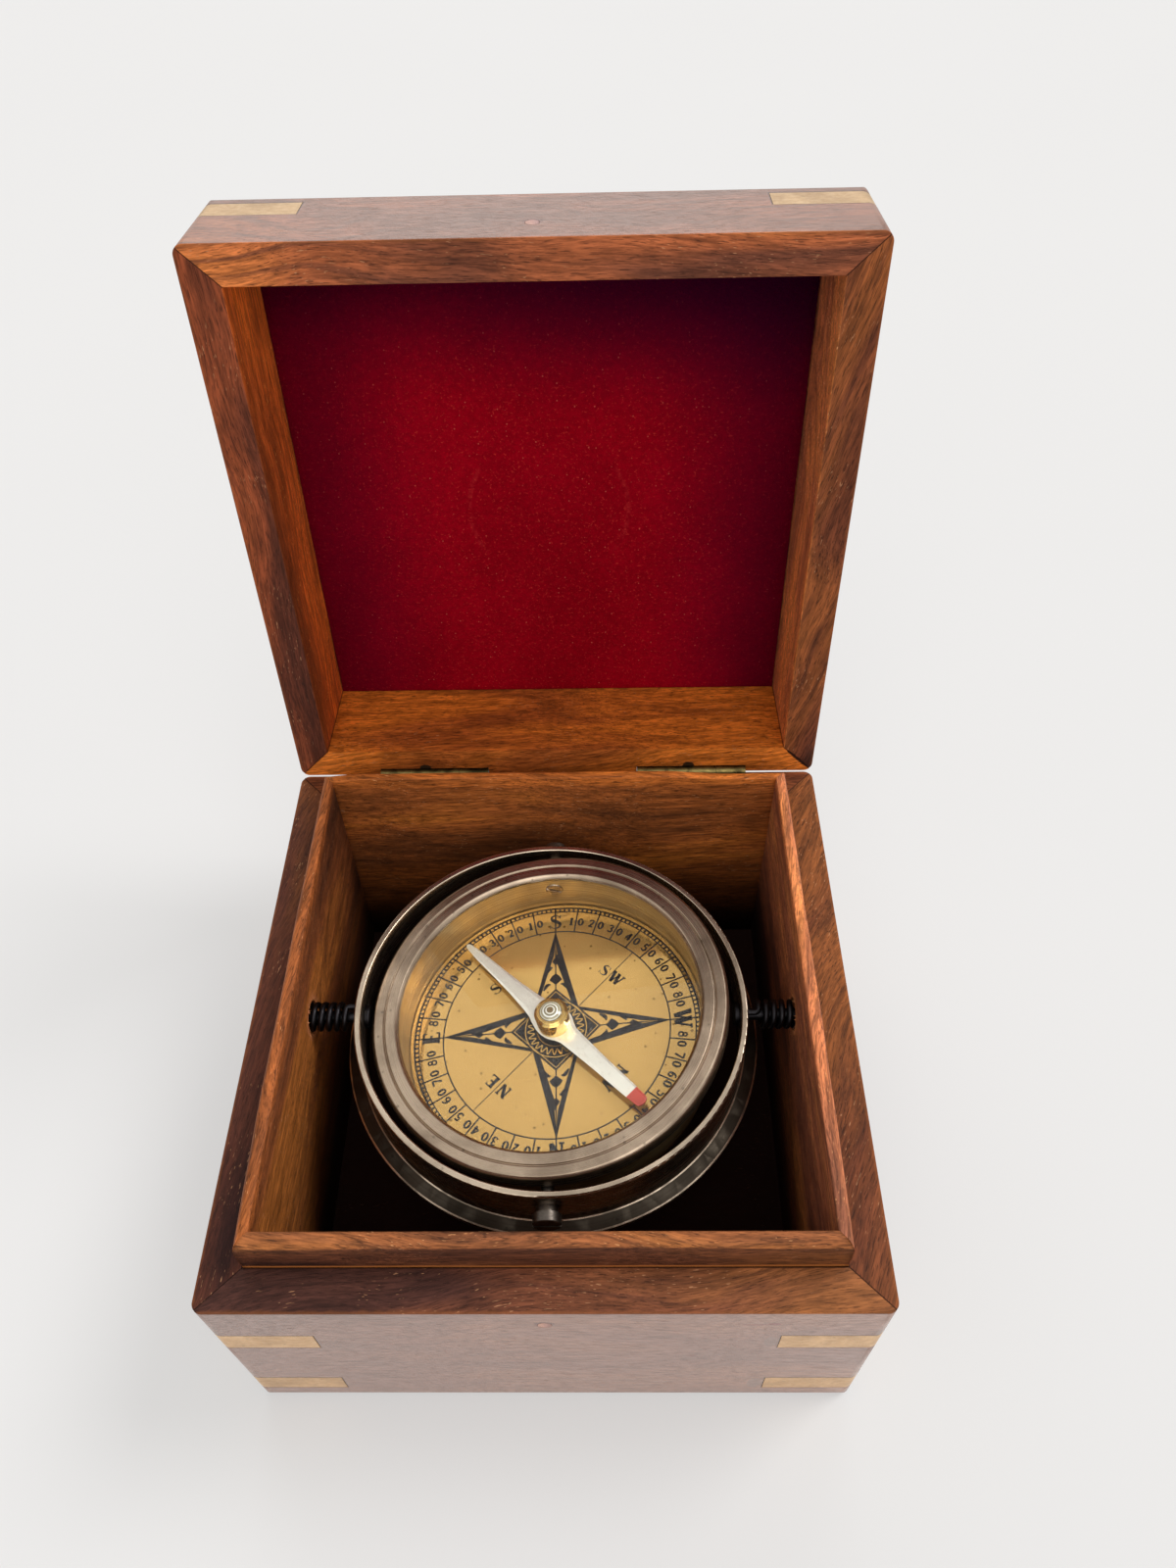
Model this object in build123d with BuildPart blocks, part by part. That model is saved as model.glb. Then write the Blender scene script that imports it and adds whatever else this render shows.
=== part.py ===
"""A dry compass hung in a two-axis gimbal inside a hinged hardwood box, its lid standing open.

The origin is the middle of the box's underside, +X is to the right, +Y runs back to the hinges
and +Z is up. Lengths are in millimetres and angles in degrees.
"""

import os
from math import cos, pi, radians, sin

from build123d import *

os.makedirs("parts", exist_ok=True)

# Box
box_width = 150.0
box_depth = 150.0
base_height = 70.0
lid_height = 31.5
wall = 9.5
bottom_thickness = 6.0
lining = 3.5
lip_height = 12.5
lip_gap = 0.6
rim_gap = 0.4
edge_round = 3.0
corner_round = 2.5
round_share = 0.45
lining_round = 0.6
lid_board = 3.2
velvet_thickness = 0.8
velvet_gap = 0.3
lid_open_angle = 96.5

# Brass corner straps
strap_length = 23.0
strap_height = 9.2
strap_thickness = 1.4
strap_low_middle = 12.7
strap_high_middle = 48.8
lid_strap_middle = 22.0
lid_strap_height = 8.0
inlay_gap = 0.05

# Front plugs
plug_diameter = 3.0
plug_length = 5.0
plug_below_rim = 8.5
plug_above_rim = 9.5

# Hinges
hinge_length = 31.6
hinge_middle_knuckle = 14.6
hinge_left_inset = 39.4
hinge_right_inset = 35.3
hinge_pin_behind = 0.1
leaf_width = 10.4
leaf_thickness = 1.3
knuckle_diameter = 4.0
knuckle_end_gap = 0.1
hinge_pin_diameter = 1.6
hinge_pin_gap = 0.04
knuckle_gap = 0.3
mortise_gap = 0.1
stop_reach = 4.6
stop_root = 1.4
stop_thickness = 1.2
stop_gap = 0.06
hinge_screw_shank = 1.8
hinge_screw_head = 3.6
hinge_screw_head_height = 1.1
hinge_screw_length = 7.0
hinge_screw_spacing = 20.0
hinge_screw_inset = 6.5
screw_gap = 0.02

# Slots in the screws' heads
slot_width = 0.7
slot_depth = 0.5

# Gimbal ring and its pivots in the case
pivot_below_rim = 8.4
ring_room = 2.55
ring_wall = 1.65
ring_top = 6.7
ring_bottom = 8.4
ring_round = 0.4
flange_reach = 3.55
flange_drop = 1.2
flange_thickness = 1.2
ring_screw_shank = 3.0
ring_screw_head = 6.0
ring_screw_head_length = 1.2
ring_screw_head_round = 0.4
ring_screw_head_gap = 0.25
ring_screw_bite = 6.5
pivot_gap = 0.07
spring_diameter = 7.6
spring_wire = 1.5
spring_pitch = 1.95
spring_end_radius = 1.2
spring_seat = 4.7
spring_ring_gap = 0.3
spring_hole_gap = 0.5

# Bowl, hung in the ring on its own pivots
bowl_tilt = 6.5
bowl_radius = 40.8
bowl_wall = 1.5
collar_reach = 2.6
collar_bottom = 2.6
collar_top = 4.2
bowl_straight = 14.0
bowl_depth = 32.0
bowl_screw_head = 6.8
bowl_screw_head_length = 2.5
bowl_screw_head_round = 0.4
bowl_screw_neck = 5.2
bowl_screw_neck_out = 1.5
bowl_screw_shank = 3.0
bowl_screw_through = 0.2

# Bezel and glass
bezel_skirt = 2.15
bezel_top = 7.05
bezel_bottom = 2.4
bezel_cover = 0.6
bezel_groove_inset = 3.25
bezel_groove_width = 0.5
bezel_groove_depth = 0.5
bezel_slope = 0.8
bezel_slope_drop = 1.05
bezel_round = 0.7
bezel_gap = 0.1
glass_thickness = 1.4
glass_gap = 0.4

# Dial, needle and weight
dial_top = -7.5
dial_thickness = 0.8
dial_gap = 0.4
dial_ring_width = 2.4
dial_ring_height = 1.6
needle_angle = -46.0
needle_tip_gap = 4.8
needle_widest = 6.4
needle_widest_at = 6.5
needle_waist = 4.6
needle_tip = 1.3
needle_thickness = 0.5
needle_level = -4.4
hub_diameter = 8.8
hub_height = 5.7
hub_stem_diameter = 3.4
hub_stem_drop = 0.9
hub_round = 0.8
cap_diameter = 5.8
cap_height = 1.4
cap_sink = 0.5
pin_diameter = 1.2
pin_gap = 0.08
pin_point_gap = 0.1
pin_foot_diameter = 5.0
pin_foot_height = 0.5
weight_radius = 15.0
weight_height = 9.0
weight_round = 1.1
weight_offset = 11.0
weight_screw_shank = 2.6
weight_screw_head = 5.0
weight_screw_head_height = 1.6

sides = ["front", "right", "back", "left"]
sideways = {"left": -1, "right": 1}
endways = {"front": -1, "back": 1}

half_width = box_width / 2
half_depth = box_depth / 2
lining_half_width = half_width - wall
lining_half_depth = half_depth - wall
room_half_width = lining_half_width - lining
lid_wall = wall - lip_gap
hinge_y = half_depth + hinge_pin_behind
hinge_z = base_height + rim_gap / 2
pivot_height = base_height - pivot_below_rim
hinge_places = {"left": hinge_left_inset - half_width, "right": half_width - hinge_right_inset}

# The base stands on the origin. The lid's frame lies on its rim, in the middle, facing outwards.
base_frame = Plane.XY
base_hinge_frame = Plane(origin=(0, hinge_y, hinge_z), x_dir=(1, 0, 0), z_dir=(0, 0, 1))
lid_out = (0, sin(radians(lid_open_angle)), cos(radians(lid_open_angle)))
lid_hinge_frame = Plane(origin=(0, hinge_y, hinge_z), x_dir=(1, 0, 0), z_dir=lid_out)
lid_middle = lid_hinge_frame.from_local_coords((0, -hinge_y, rim_gap / 2))
lid_frame = Plane(origin=lid_middle, x_dir=(1, 0, 0), z_dir=lid_out)


def save(builder, label):
    """Name a finished piece and write it."""
    builder.part.label = label
    export_step(builder.part, f"parts/{label}.step")


def section_of(frame):
    """The plane through a frame's own Y and Z, for profiles that run along its X."""
    return Plane(origin=frame.origin, x_dir=frame.y_dir, z_dir=frame.x_dir)


# Boards that meet in mitres
def corner_points(half_x, half_y):
    return [(-half_x, -half_y), (half_x, -half_y), (half_x, half_y), (-half_x, half_y)]


def mitred_outline(side, half_x, half_y, thickness):
    """Four corners of the board on one side of a mitred frame."""
    outer = corner_points(half_x, half_y)
    inner = corner_points(half_x - thickness, half_y - thickness)
    first = sides.index(side)
    second = (first + 1) % len(sides)
    return [outer[first], outer[second], inner[second], inner[first]]


def middle_of_edge(frame, side, half_x, half_y, level):
    """The middle of one long edge of a mitred frame at a level, in the model's own axes."""
    outward = {"front": (0, -half_y), "right": (half_x, 0), "back": (0, half_y), "left": (-half_x, 0)}
    return frame.from_local_coords((*outward[side], level))


def eased_block(frame, height):
    """The room inside the box's outline, its upright corners eased."""
    with BuildPart() as block:
        with BuildSketch(frame):
            RectangleRounded(box_width, box_depth, corner_round)
        extrude(amount=height)
    return block


def wall_board(frame, side, thickness, height, far_level, cutters):
    """One mitred wall with its far outer edge rounded, its ends eased and its recesses cut."""
    with BuildPart() as board:
        with BuildSketch(frame):
            with BuildLine():
                Polyline(*mitred_outline(side, half_width, half_depth, thickness), close=True)
            make_face()
        extrude(amount=height)
        far_edge = middle_of_edge(frame, side, half_width, half_depth, far_level)
        fillet(board.edges().sort_by_distance(far_edge)[0], radius=min(edge_round, round_share * thickness))
        add(eased_block(frame, height).part, mode=Mode.INTERSECT)
        for cutter in cutters:
            add(cutter.part, mode=Mode.SUBTRACT)
    return board


# Corner straps, each an L round one corner
def strap_ring(frame, middle, height, gap):
    """Four straps at one level. A gap above nothing makes the recess that takes them."""
    level = middle - height / 2 - gap
    inner_x = half_width - strap_thickness - gap
    inner_y = half_depth - strap_thickness - gap
    end_x = half_width - strap_length - gap
    end_y = half_depth - strap_length - gap
    outline = [
        (end_x, half_depth),
        (half_width, half_depth),
        (half_width, end_y),
        (inner_x, end_y),
        (inner_x, inner_y),
        (end_x, inner_y),
    ]
    with BuildPart() as straps:
        with BuildSketch(frame.offset(level)):
            with BuildLine():
                Polyline(*outline, close=True)
            make_face()
            mirror(about=Plane.YZ)
            mirror(about=Plane.XZ)
        extrude(amount=height + 2 * gap)
        if gap == 0:
            add(eased_block(frame, middle + height).part, mode=Mode.INTERSECT)
    return straps


# Front plugs
def front_plug(frame, level, gap):
    """A round plug through the middle of a front face."""
    face_middle = frame.from_local_coords((0, -half_depth, level))
    with BuildPart() as plug:
        with BuildSketch(Plane(origin=face_middle, x_dir=frame.x_dir, z_dir=frame.y_dir)):
            Circle(plug_diameter / 2 + gap)
        extrude(amount=plug_length + gap)
    return plug


# Hinges, worked out about the pin. The base's leaf runs down from it and the lid's leaf up.
upward = {"base": -1, "lid": 1}
hinge_frames = {"base": base_hinge_frame, "lid": lid_hinge_frame}
knuckle_radius = knuckle_diameter / 2


def leaf_spans(owner):
    """Stretches of a hinge that hold its own knuckles: the middle for the lid, the ends for the base."""
    half = hinge_length / 2
    inner = hinge_middle_knuckle / 2
    if owner == "lid":
        return [(knuckle_end_gap - inner, inner - knuckle_end_gap)]
    return [(-half, -inner), (inner, half)]


def leaf_plate(side, reach):
    """A leaf's flat plate in section, flush with the back face, from a distance off the pin."""
    with Locations((-hinge_pin_behind - leaf_thickness / 2, side * (leaf_width + reach) / 2)):
        Rectangle(leaf_thickness, leaf_width - reach)


def stop_fin(side, from_radius):
    """A fin behind the knuckle that meets the other leaf's fin when the lid is open."""
    half_angle = lid_open_angle / 2
    middle = (from_radius + stop_reach) / 2
    lift = (stop_gap + stop_thickness) / 2
    along = (cos(radians(half_angle)), side * sin(radians(half_angle)))
    across = (-sin(radians(half_angle)), side * cos(radians(half_angle)))
    place = (middle * along[0] + lift * across[0], middle * along[1] + lift * across[1])
    with Locations(Location((*place, 0), (0, 0, side * half_angle))):
        Rectangle(stop_reach - from_radius, stop_thickness)


def hinge_leaf(owner, place):
    """A leaf with its knuckles, their bore and the stop fin."""
    side = upward[owner]
    section = section_of(hinge_frames[owner])
    with BuildPart() as leaf:
        with BuildSketch(section.offset(place - hinge_length / 2)):
            leaf_plate(side, knuckle_radius + knuckle_gap)
        extrude(amount=hinge_length)
        for start, end in leaf_spans(owner):
            with BuildSketch(section.offset(place + start)):
                leaf_plate(side, 0)
                Circle(knuckle_radius)
                stop_fin(side, stop_root)
                Circle(hinge_pin_diameter / 2 + hinge_pin_gap, mode=Mode.SUBTRACT)
            extrude(amount=end - start)
        add(hinge_screws(owner, screw_gap).part, mode=Mode.SUBTRACT)
    return leaf


def hinge_screws(owner, gap):
    """Countersunk screws through the leaves of the base or the lid, both hinges in one group."""
    frame = hinge_frames[owner]
    middle = upward[owner] * hinge_screw_inset
    head = hinge_screw_head / 2 + gap
    shank = hinge_screw_shank / 2 + gap
    tip = hinge_screw_length + gap
    face = -hinge_pin_behind
    with BuildPart() as screws:
        for place in hinge_places.values():
            for step in (-hinge_screw_spacing / 2, hinge_screw_spacing / 2):
                with BuildSketch(section_of(frame).offset(place + step)):
                    with BuildLine():
                        Polyline(
                            (face, middle),
                            (face, middle + head),
                            (face - hinge_screw_head_height, middle + shank),
                            (face - tip + shank, middle + shank),
                            (face - tip, middle),
                            close=True,
                        )
                    make_face()
                foot = frame.from_local_coords((place + step, face, middle))
                revolve(axis=Axis(foot, frame.y_dir))
                if gap == 0:
                    screw_face = Plane(origin=foot, x_dir=frame.x_dir, z_dir=frame.y_dir)
                    add(screw_slot(screw_face, hinge_screw_head).part, mode=Mode.SUBTRACT)
    return screws


def screw_slot(face, length):
    """The room of a slot that reaches down from the face of a screw's head."""
    with BuildPart() as slot:
        with BuildSketch(face):
            Rectangle(length, slot_width)
        extrude(amount=-slot_depth)
    return slot


def hinge_mortises(owner):
    """The recesses for both leaves and their knuckles."""
    section = section_of(hinge_frames[owner])
    depth = hinge_pin_behind + leaf_thickness + mortise_gap
    reach = leaf_width + mortise_gap
    half_length = hinge_length / 2 + mortise_gap
    with BuildPart() as mortises:
        for place in hinge_places.values():
            with BuildSketch(section.offset(place - half_length)):
                with Locations((-depth / 2, upward[owner] * reach / 2)):
                    Rectangle(depth, reach)
                Circle(knuckle_radius + knuckle_gap)
            extrude(amount=2 * half_length)
        add(hinge_screws(owner, screw_gap).part)
    return mortises


def hinge_pin(place):
    """A pin that runs through one hinge's knuckles."""
    with BuildPart() as pin:
        with BuildSketch(section_of(base_hinge_frame).offset(place - hinge_length / 2)):
            Circle(hinge_pin_diameter / 2)
        extrude(amount=hinge_length)
    return pin


# Pivots of the gimbal ring, on the X axis at the pivot's height
collar_radius = bowl_radius + collar_reach
bezel_radius = collar_radius + bezel_gap + bezel_skirt
ring_inner_radius = bezel_radius + ring_room
ring_radius = ring_inner_radius + ring_wall
flange_radius = ring_radius + flange_reach
spring_outer_end = room_half_width + spring_seat
spring_room = spring_outer_end - ring_radius - spring_ring_gap - 2 * (spring_end_radius + spring_wire)
spring_half_turns = round(2 * spring_room / spring_pitch)
head_face = ring_inner_radius - ring_screw_head_gap
ring_screw_end = lining_half_width + ring_screw_bite


def side_plane(direction, distance):
    """A plane square to X at a distance from the middle, facing outwards."""
    return Plane(origin=(direction * distance, 0, pivot_height), x_dir=(0, 1, 0), z_dir=(direction, 0, 0))


def side_rod(direction, start, end, radius):
    with BuildPart() as rod:
        with BuildSketch(side_plane(direction, start)):
            Circle(radius)
        extrude(amount=end - start)
    return rod


def ring_pivot_screw(direction):
    """A long screw from inside the ring, through ring and spring, into the wall."""
    with BuildPart() as screw:
        with BuildSketch(side_plane(direction, head_face - ring_screw_head_length)):
            Circle(ring_screw_head / 2)
        extrude(amount=ring_screw_head_length)
        with BuildSketch(side_plane(direction, head_face)):
            Circle(ring_screw_shank / 2)
        extrude(amount=ring_screw_end - head_face)
        rims = screw.edges().filter_by(GeomType.CIRCLE).sort_by(Axis.X)
        fillet(rims[0 if direction > 0 else -1], radius=ring_screw_head_round)
        inner_face = -side_plane(direction, head_face - ring_screw_head_length)
        add(screw_slot(inner_face, ring_screw_head).part, mode=Mode.SUBTRACT)
    return screw


def pivot_spring(direction):
    """An open coil round a pivot screw, each end turned straight towards what it meets."""
    coil = (spring_diameter - spring_wire) / 2
    first = ring_radius + spring_ring_gap + spring_wire + spring_end_radius
    half_turn = spring_room / spring_half_turns
    ends = [
        Vector(
            direction * (first + half_turn * k),
            0,
            pivot_height + (coil if k % 2 == 0 else -coil),
        )
        for k in range(spring_half_turns + 1)
    ]
    way = Vector(direction, 0, 0)
    across = Vector(0, direction, 0)
    last_turn = 1 if spring_half_turns % 2 == 0 else -1
    lead_in = ends[0] - way * spring_end_radius - across * spring_end_radius
    lead_out = ends[-1] + way * spring_end_radius + across * spring_end_radius * last_turn
    with BuildPart() as spring:
        with BuildLine() as path:
            Line(lead_in - way * spring_wire, lead_in)
            TangentArc(lead_in, ends[0], tangent=way)
            for k in range(spring_half_turns):
                span = ends[k + 1] - ends[k]
                bulge = across * (span.length / 2) * (1 if k % 2 == 0 else -1)
                ThreePointArc(ends[k], (ends[k] + ends[k + 1]) * 0.5 + bulge, ends[k + 1])
            TangentArc(ends[-1], lead_out, tangent=across * last_turn)
            Line(lead_out, lead_out + way * spring_wire)
        with BuildSketch(Plane(origin=lead_in - way * spring_wire, z_dir=way)):
            Circle(spring_wire / 2)
        sweep(path=path.wires()[0])
    return spring, path.wires()[0]


def least_gap(wire, samples_per_half_turn=16):
    """The least distance from a wire's skin to itself, between points a quarter turn or more apart."""
    samples = spring_half_turns * samples_per_half_turn
    points = [wire @ (i / samples) for i in range(samples + 1)]
    quarter_turn = pi * (spring_diameter - spring_wire) / 4
    skip = int(quarter_turn / (wire.length / samples)) + 1
    gaps = [
        (points[i] - points[j]).length
        for i in range(samples + 1)
        for j in range(i + skip, samples + 1)
    ]
    return min(gaps) - spring_wire


# Gimbal ring
pivot_point = (0, 0, pivot_height)
ring_section = Plane(origin=pivot_point, x_dir=(1, 0, 0), z_dir=(0, -1, 0))


def gimbal_ring():
    """A plain band with an out-turned flange below and a bore at each of its four pivots."""
    flange_level = -ring_bottom + flange_thickness
    with BuildPart() as ring:
        with BuildSketch(ring_section):
            with BuildLine():
                Polyline(
                    (ring_inner_radius, ring_top),
                    (ring_radius, ring_top),
                    (ring_radius, flange_level),
                    (flange_radius, flange_level - flange_drop),
                    (flange_radius, flange_level - flange_drop - flange_thickness),
                    (ring_radius, -ring_bottom),
                    (ring_inner_radius, -ring_bottom),
                    close=True,
                )
            make_face()
        revolve(axis=Axis(pivot_point, (0, 0, 1)))
        top_rims = ring.edges().group_by(Axis.Z)[-1]
        fillet(top_rims, radius=ring_round)
        for direction in sideways.values():
            with BuildSketch(side_plane(direction, head_face)):
                Circle(ring_screw_shank / 2 + pivot_gap)
            extrude(amount=ring_radius - head_face, mode=Mode.SUBTRACT)
        for direction in endways.values():
            with BuildSketch(end_plane(direction, head_face)):
                Circle(bowl_screw_neck / 2 + pivot_gap)
            extrude(amount=ring_radius - head_face, mode=Mode.SUBTRACT)
    return ring


# Bowl and what it holds, in a frame that leans by the bowl's tilt
def end_plane(direction, distance):
    """A plane square to Y at a distance from the middle, facing outwards."""
    return Plane(origin=(0, direction * distance, pivot_height), x_dir=(1, 0, 0), z_dir=(0, direction, 0))


lean = radians(bowl_tilt)
bowl_frame = Plane(origin=pivot_point, x_dir=(cos(lean), 0, sin(lean)), z_dir=(-sin(lean), 0, cos(lean)))
bowl_section = Plane(origin=pivot_point, x_dir=bowl_frame.x_dir, z_dir=-bowl_frame.y_dir)
bowl_axis = Axis(pivot_point, bowl_frame.z_dir)
bowl_bore = bowl_radius - bowl_wall
bowl_screw_start = bowl_bore - bowl_screw_through
bezel_opening = bowl_bore - bezel_cover
glass_top = collar_top + glass_thickness
dial_radius = bowl_bore - dial_gap
bowl_floor_radius = bowl_radius - (bowl_depth - bowl_straight)


def turned(points):
    """A solid turned about the bowl's axis from a half section."""
    with BuildPart() as solid:
        with BuildSketch(bowl_section):
            with BuildLine():
                Polyline(*points, close=True)
            make_face()
        revolve(axis=bowl_axis)
    return solid


def compass_bowl():
    """A straight-sided bowl with a round bottom and a collar for glass and bezel."""
    floor = -bowl_depth
    with BuildPart() as bowl:
        with BuildSketch(bowl_section):
            with BuildLine():
                Polyline(
                    (0, floor + bowl_wall),
                    (0, floor),
                    (bowl_floor_radius, floor),
                )
                TangentArc((bowl_radius, -bowl_straight), (bowl_floor_radius, floor), tangent=(0, -1))
                Polyline(
                    (bowl_radius, -bowl_straight),
                    (bowl_radius, collar_bottom),
                    (collar_radius, collar_bottom),
                    (collar_radius, collar_top),
                    (bowl_bore, collar_top),
                    (bowl_bore, -bowl_straight),
                )
                TangentArc(
                    (bowl_bore, -bowl_straight),
                    (bowl_floor_radius, floor + bowl_wall),
                    tangent=(0, -1),
                )
                Line((bowl_floor_radius, floor + bowl_wall), (0, floor + bowl_wall))
            make_face()
        revolve(axis=bowl_axis)
        for direction in endways.values():
            with BuildSketch(end_plane(direction, bowl_screw_start)):
                Circle(bowl_screw_shank / 2 + screw_gap)
            extrude(amount=bowl_radius - bowl_screw_start, mode=Mode.SUBTRACT)
        add(weight_screw(screw_gap).part, mode=Mode.SUBTRACT)
    return bowl


def bowl_pivot_screw(direction):
    """A screw whose neck turns in the ring and whose thread holds the bowl."""
    neck_end = ring_radius + bowl_screw_neck_out
    with BuildPart() as screw:
        with BuildSketch(end_plane(direction, bowl_screw_start)):
            Circle(bowl_screw_shank / 2)
        extrude(amount=head_face - bowl_screw_start)
        with BuildSketch(end_plane(direction, head_face)):
            Circle(bowl_screw_neck / 2)
        extrude(amount=neck_end - head_face)
        with BuildSketch(end_plane(direction, neck_end)):
            Circle(bowl_screw_head / 2)
        extrude(amount=bowl_screw_head_length)
        rims = screw.edges().filter_by(GeomType.CIRCLE).sort_by(Axis.Y)
        fillet(rims[-1 if direction > 0 else 0], radius=bowl_screw_head_round)
        outer_face = end_plane(direction, neck_end + bowl_screw_head_length)
        add(screw_slot(outer_face, bowl_screw_head).part, mode=Mode.SUBTRACT)
    return screw


def bezel():
    """A ring that screws over the collar, with a groove round its top and a slope to the glass."""
    groove = bezel_radius - bezel_groove_inset
    skirt_bore = collar_radius + bezel_gap
    with BuildPart() as ring:
        with BuildSketch(bowl_section):
            with BuildLine():
                Polyline(
                    (bezel_opening, glass_top),
                    (skirt_bore, glass_top),
                    (skirt_bore, bezel_bottom),
                    (bezel_radius, bezel_bottom),
                    (bezel_radius, bezel_top - bezel_round),
                    (bezel_radius - bezel_round, bezel_top),
                    (groove + bezel_groove_width / 2, bezel_top),
                    (groove, bezel_top - bezel_groove_depth),
                    (groove - bezel_groove_width / 2, bezel_top),
                    (bezel_opening + bezel_slope, bezel_top),
                    (bezel_opening, bezel_top - bezel_slope_drop),
                    close=True,
                )
            make_face()
        revolve(axis=bowl_axis)
    return ring


def disc(radius, low, high):
    return turned([(0, low), (radius, low), (radius, high), (0, high)])


def dial():
    """A flat disc on its ring, bored for the foot of the needle's pin."""
    low = dial_top - dial_thickness
    return turned(
        [(pin_diameter / 2, low), (dial_radius, low), (dial_radius, dial_top), (pin_diameter / 2, dial_top)]
    )


def dial_seat_ring():
    """The ring round the bowl's wall that carries the dial."""
    low = dial_top - dial_thickness - dial_ring_height
    high = dial_top - dial_thickness
    inner = bowl_bore - dial_ring_width
    return turned([(inner, low), (bowl_bore, low), (bowl_bore, high), (inner, high)])


# Needle, its hub and cap, and the pin that they turn on
hub_low = needle_level + needle_thickness
hub_top = hub_low + hub_height
cap_low = hub_top - cap_sink
pin_tip = cap_low - pin_point_gap
pin_bore = pin_diameter / 2 + pin_gap


def needle_pivot():
    """A pointed pin with a foot on the dial and a rivet end under it."""
    low = dial_top - dial_thickness - pin_foot_height
    return turned(
        [
            (0, low),
            (pin_foot_diameter / 2, low),
            (pin_foot_diameter / 2, dial_top - dial_thickness),
            (pin_diameter / 2, dial_top - dial_thickness),
            (pin_diameter / 2, dial_top),
            (pin_foot_diameter / 2, dial_top),
            (pin_foot_diameter / 2, dial_top + pin_foot_height),
            (pin_diameter / 2, dial_top + pin_foot_height),
            (pin_diameter / 2, pin_tip - pin_diameter),
            (0, pin_tip),
        ]
    )


def needle_hub():
    """A turned hub over the needle, bored for the pin and counterbored for the cap."""
    stem_low = needle_level - hub_stem_drop
    return turned(
        [
            (pin_bore, stem_low),
            (hub_stem_diameter / 2, stem_low),
            (hub_stem_diameter / 2, hub_low),
            (hub_diameter / 2, hub_low),
            (hub_diameter / 2, hub_top - hub_round),
            (hub_diameter / 2 - hub_round, hub_top),
            (cap_diameter / 2, hub_top),
            (cap_diameter / 2, cap_low),
            (pin_bore, cap_low),
        ]
    )


def needle_cap():
    """A clear domed cap that sits in the hub and bears on the pin's point."""
    with BuildPart() as cap:
        with BuildSketch(bowl_section):
            with BuildLine():
                Polyline(
                    (0, cap_low + cap_height),
                    (0, cap_low),
                    (cap_diameter / 2, cap_low),
                    (cap_diameter / 2, hub_top),
                )
                TangentArc((0, cap_low + cap_height), (cap_diameter / 2, hub_top), tangent=(1, 0))
            make_face()
        revolve(axis=bowl_axis)
    return cap


def needle():
    """A flat double-tapered blade, widest beside the hub."""
    half_length = bowl_bore - needle_tip_gap
    arm = [
        (0, needle_waist / 2),
        (needle_widest_at, needle_widest / 2),
        (half_length - needle_tip / 2, needle_tip / 2),
        (half_length, 0),
    ]
    upper = [(-x, y) for x, y in reversed(arm[1:])] + arm
    lower = [(x, -y) for x, y in reversed(upper[1:-1])]
    turn = radians(needle_angle)
    along = bowl_frame.x_dir * cos(turn) + bowl_frame.y_dir * sin(turn)
    middle = bowl_frame.from_local_coords((0, 0, needle_level))
    blade = Plane(origin=middle, x_dir=along, z_dir=bowl_frame.z_dir)
    with BuildPart() as plate:
        with BuildSketch(blade):
            with BuildLine():
                Polyline(*upper, *lower, close=True)
            make_face()
            Circle(hub_stem_diameter / 2, mode=Mode.SUBTRACT)
        extrude(amount=needle_thickness)
    return plate


# Weight under the bowl, a little off centre, so that the bowl hangs with its tilt
weight_middle = bowl_frame.from_local_coords((-weight_offset, 0, -bowl_depth))
weight_frame = Plane(origin=weight_middle, x_dir=bowl_frame.x_dir, z_dir=-bowl_frame.z_dir)


def weight_screw(gap):
    """A screw up through the weight into the bowl's floor."""
    head_low = weight_height - weight_screw_head_height
    with BuildPart() as screw:
        with BuildSketch(weight_frame.offset(-bowl_wall)):
            Circle(weight_screw_shank / 2 + gap)
        extrude(amount=bowl_wall + head_low + gap)
        with BuildSketch(weight_frame.offset(head_low)):
            Circle(weight_screw_head / 2 + gap)
        extrude(amount=weight_screw_head_height)
        if gap == 0:
            low_face = weight_frame.offset(weight_height)
            add(screw_slot(low_face, weight_screw_head).part, mode=Mode.SUBTRACT)
    return screw


def bowl_weight():
    with BuildPart() as weight:
        with BuildSketch(weight_frame):
            Circle(weight_radius)
        extrude(amount=weight_height)
        fillet(weight.edges().filter_by(GeomType.CIRCLE), radius=weight_round)
        add(weight_screw(screw_gap).part, mode=Mode.SUBTRACT)
    return weight


# Case walls, bottom and lining
def case_parts():
    plug_level = base_height - plug_below_rim
    strap_levels = (strap_low_middle, strap_high_middle)
    pockets = [strap_ring(base_frame, middle, strap_height, inlay_gap) for middle in strap_levels]
    own_cuts = {
        "front": [front_plug(base_frame, plug_level, inlay_gap)],
        "back": [hinge_mortises("base")],
        "left": wall_bores("left"),
        "right": wall_bores("right"),
    }
    for side in sides:
        cuts = pockets + own_cuts[side]
        save(wall_board(base_frame, side, wall, base_height, 0, cuts), f"base_{side}_wall")
        save(lining_board(side), f"lining_{side}")
    with BuildPart() as bottom:
        with BuildSketch():
            Rectangle(2 * lining_half_width, 2 * lining_half_depth)
        extrude(amount=bottom_thickness)
    save(bottom, "base_bottom")
    with BuildPart() as straps:
        for middle in strap_levels:
            add(strap_ring(base_frame, middle, strap_height, 0).part)
    save(straps, "base_corner_straps")
    save(front_plug(base_frame, plug_level, 0), "base_front_plug")


def wall_bores(side):
    """The hole in a side wall for the spring's outer end and the pivot screw's thread."""
    direction = sideways[side]
    spring_bore = spring_diameter / 2 + spring_hole_gap
    return [
        side_rod(direction, room_half_width, spring_outer_end, spring_bore),
        side_rod(direction, spring_outer_end, ring_screw_end + screw_gap, ring_screw_shank / 2 + screw_gap),
    ]


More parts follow.
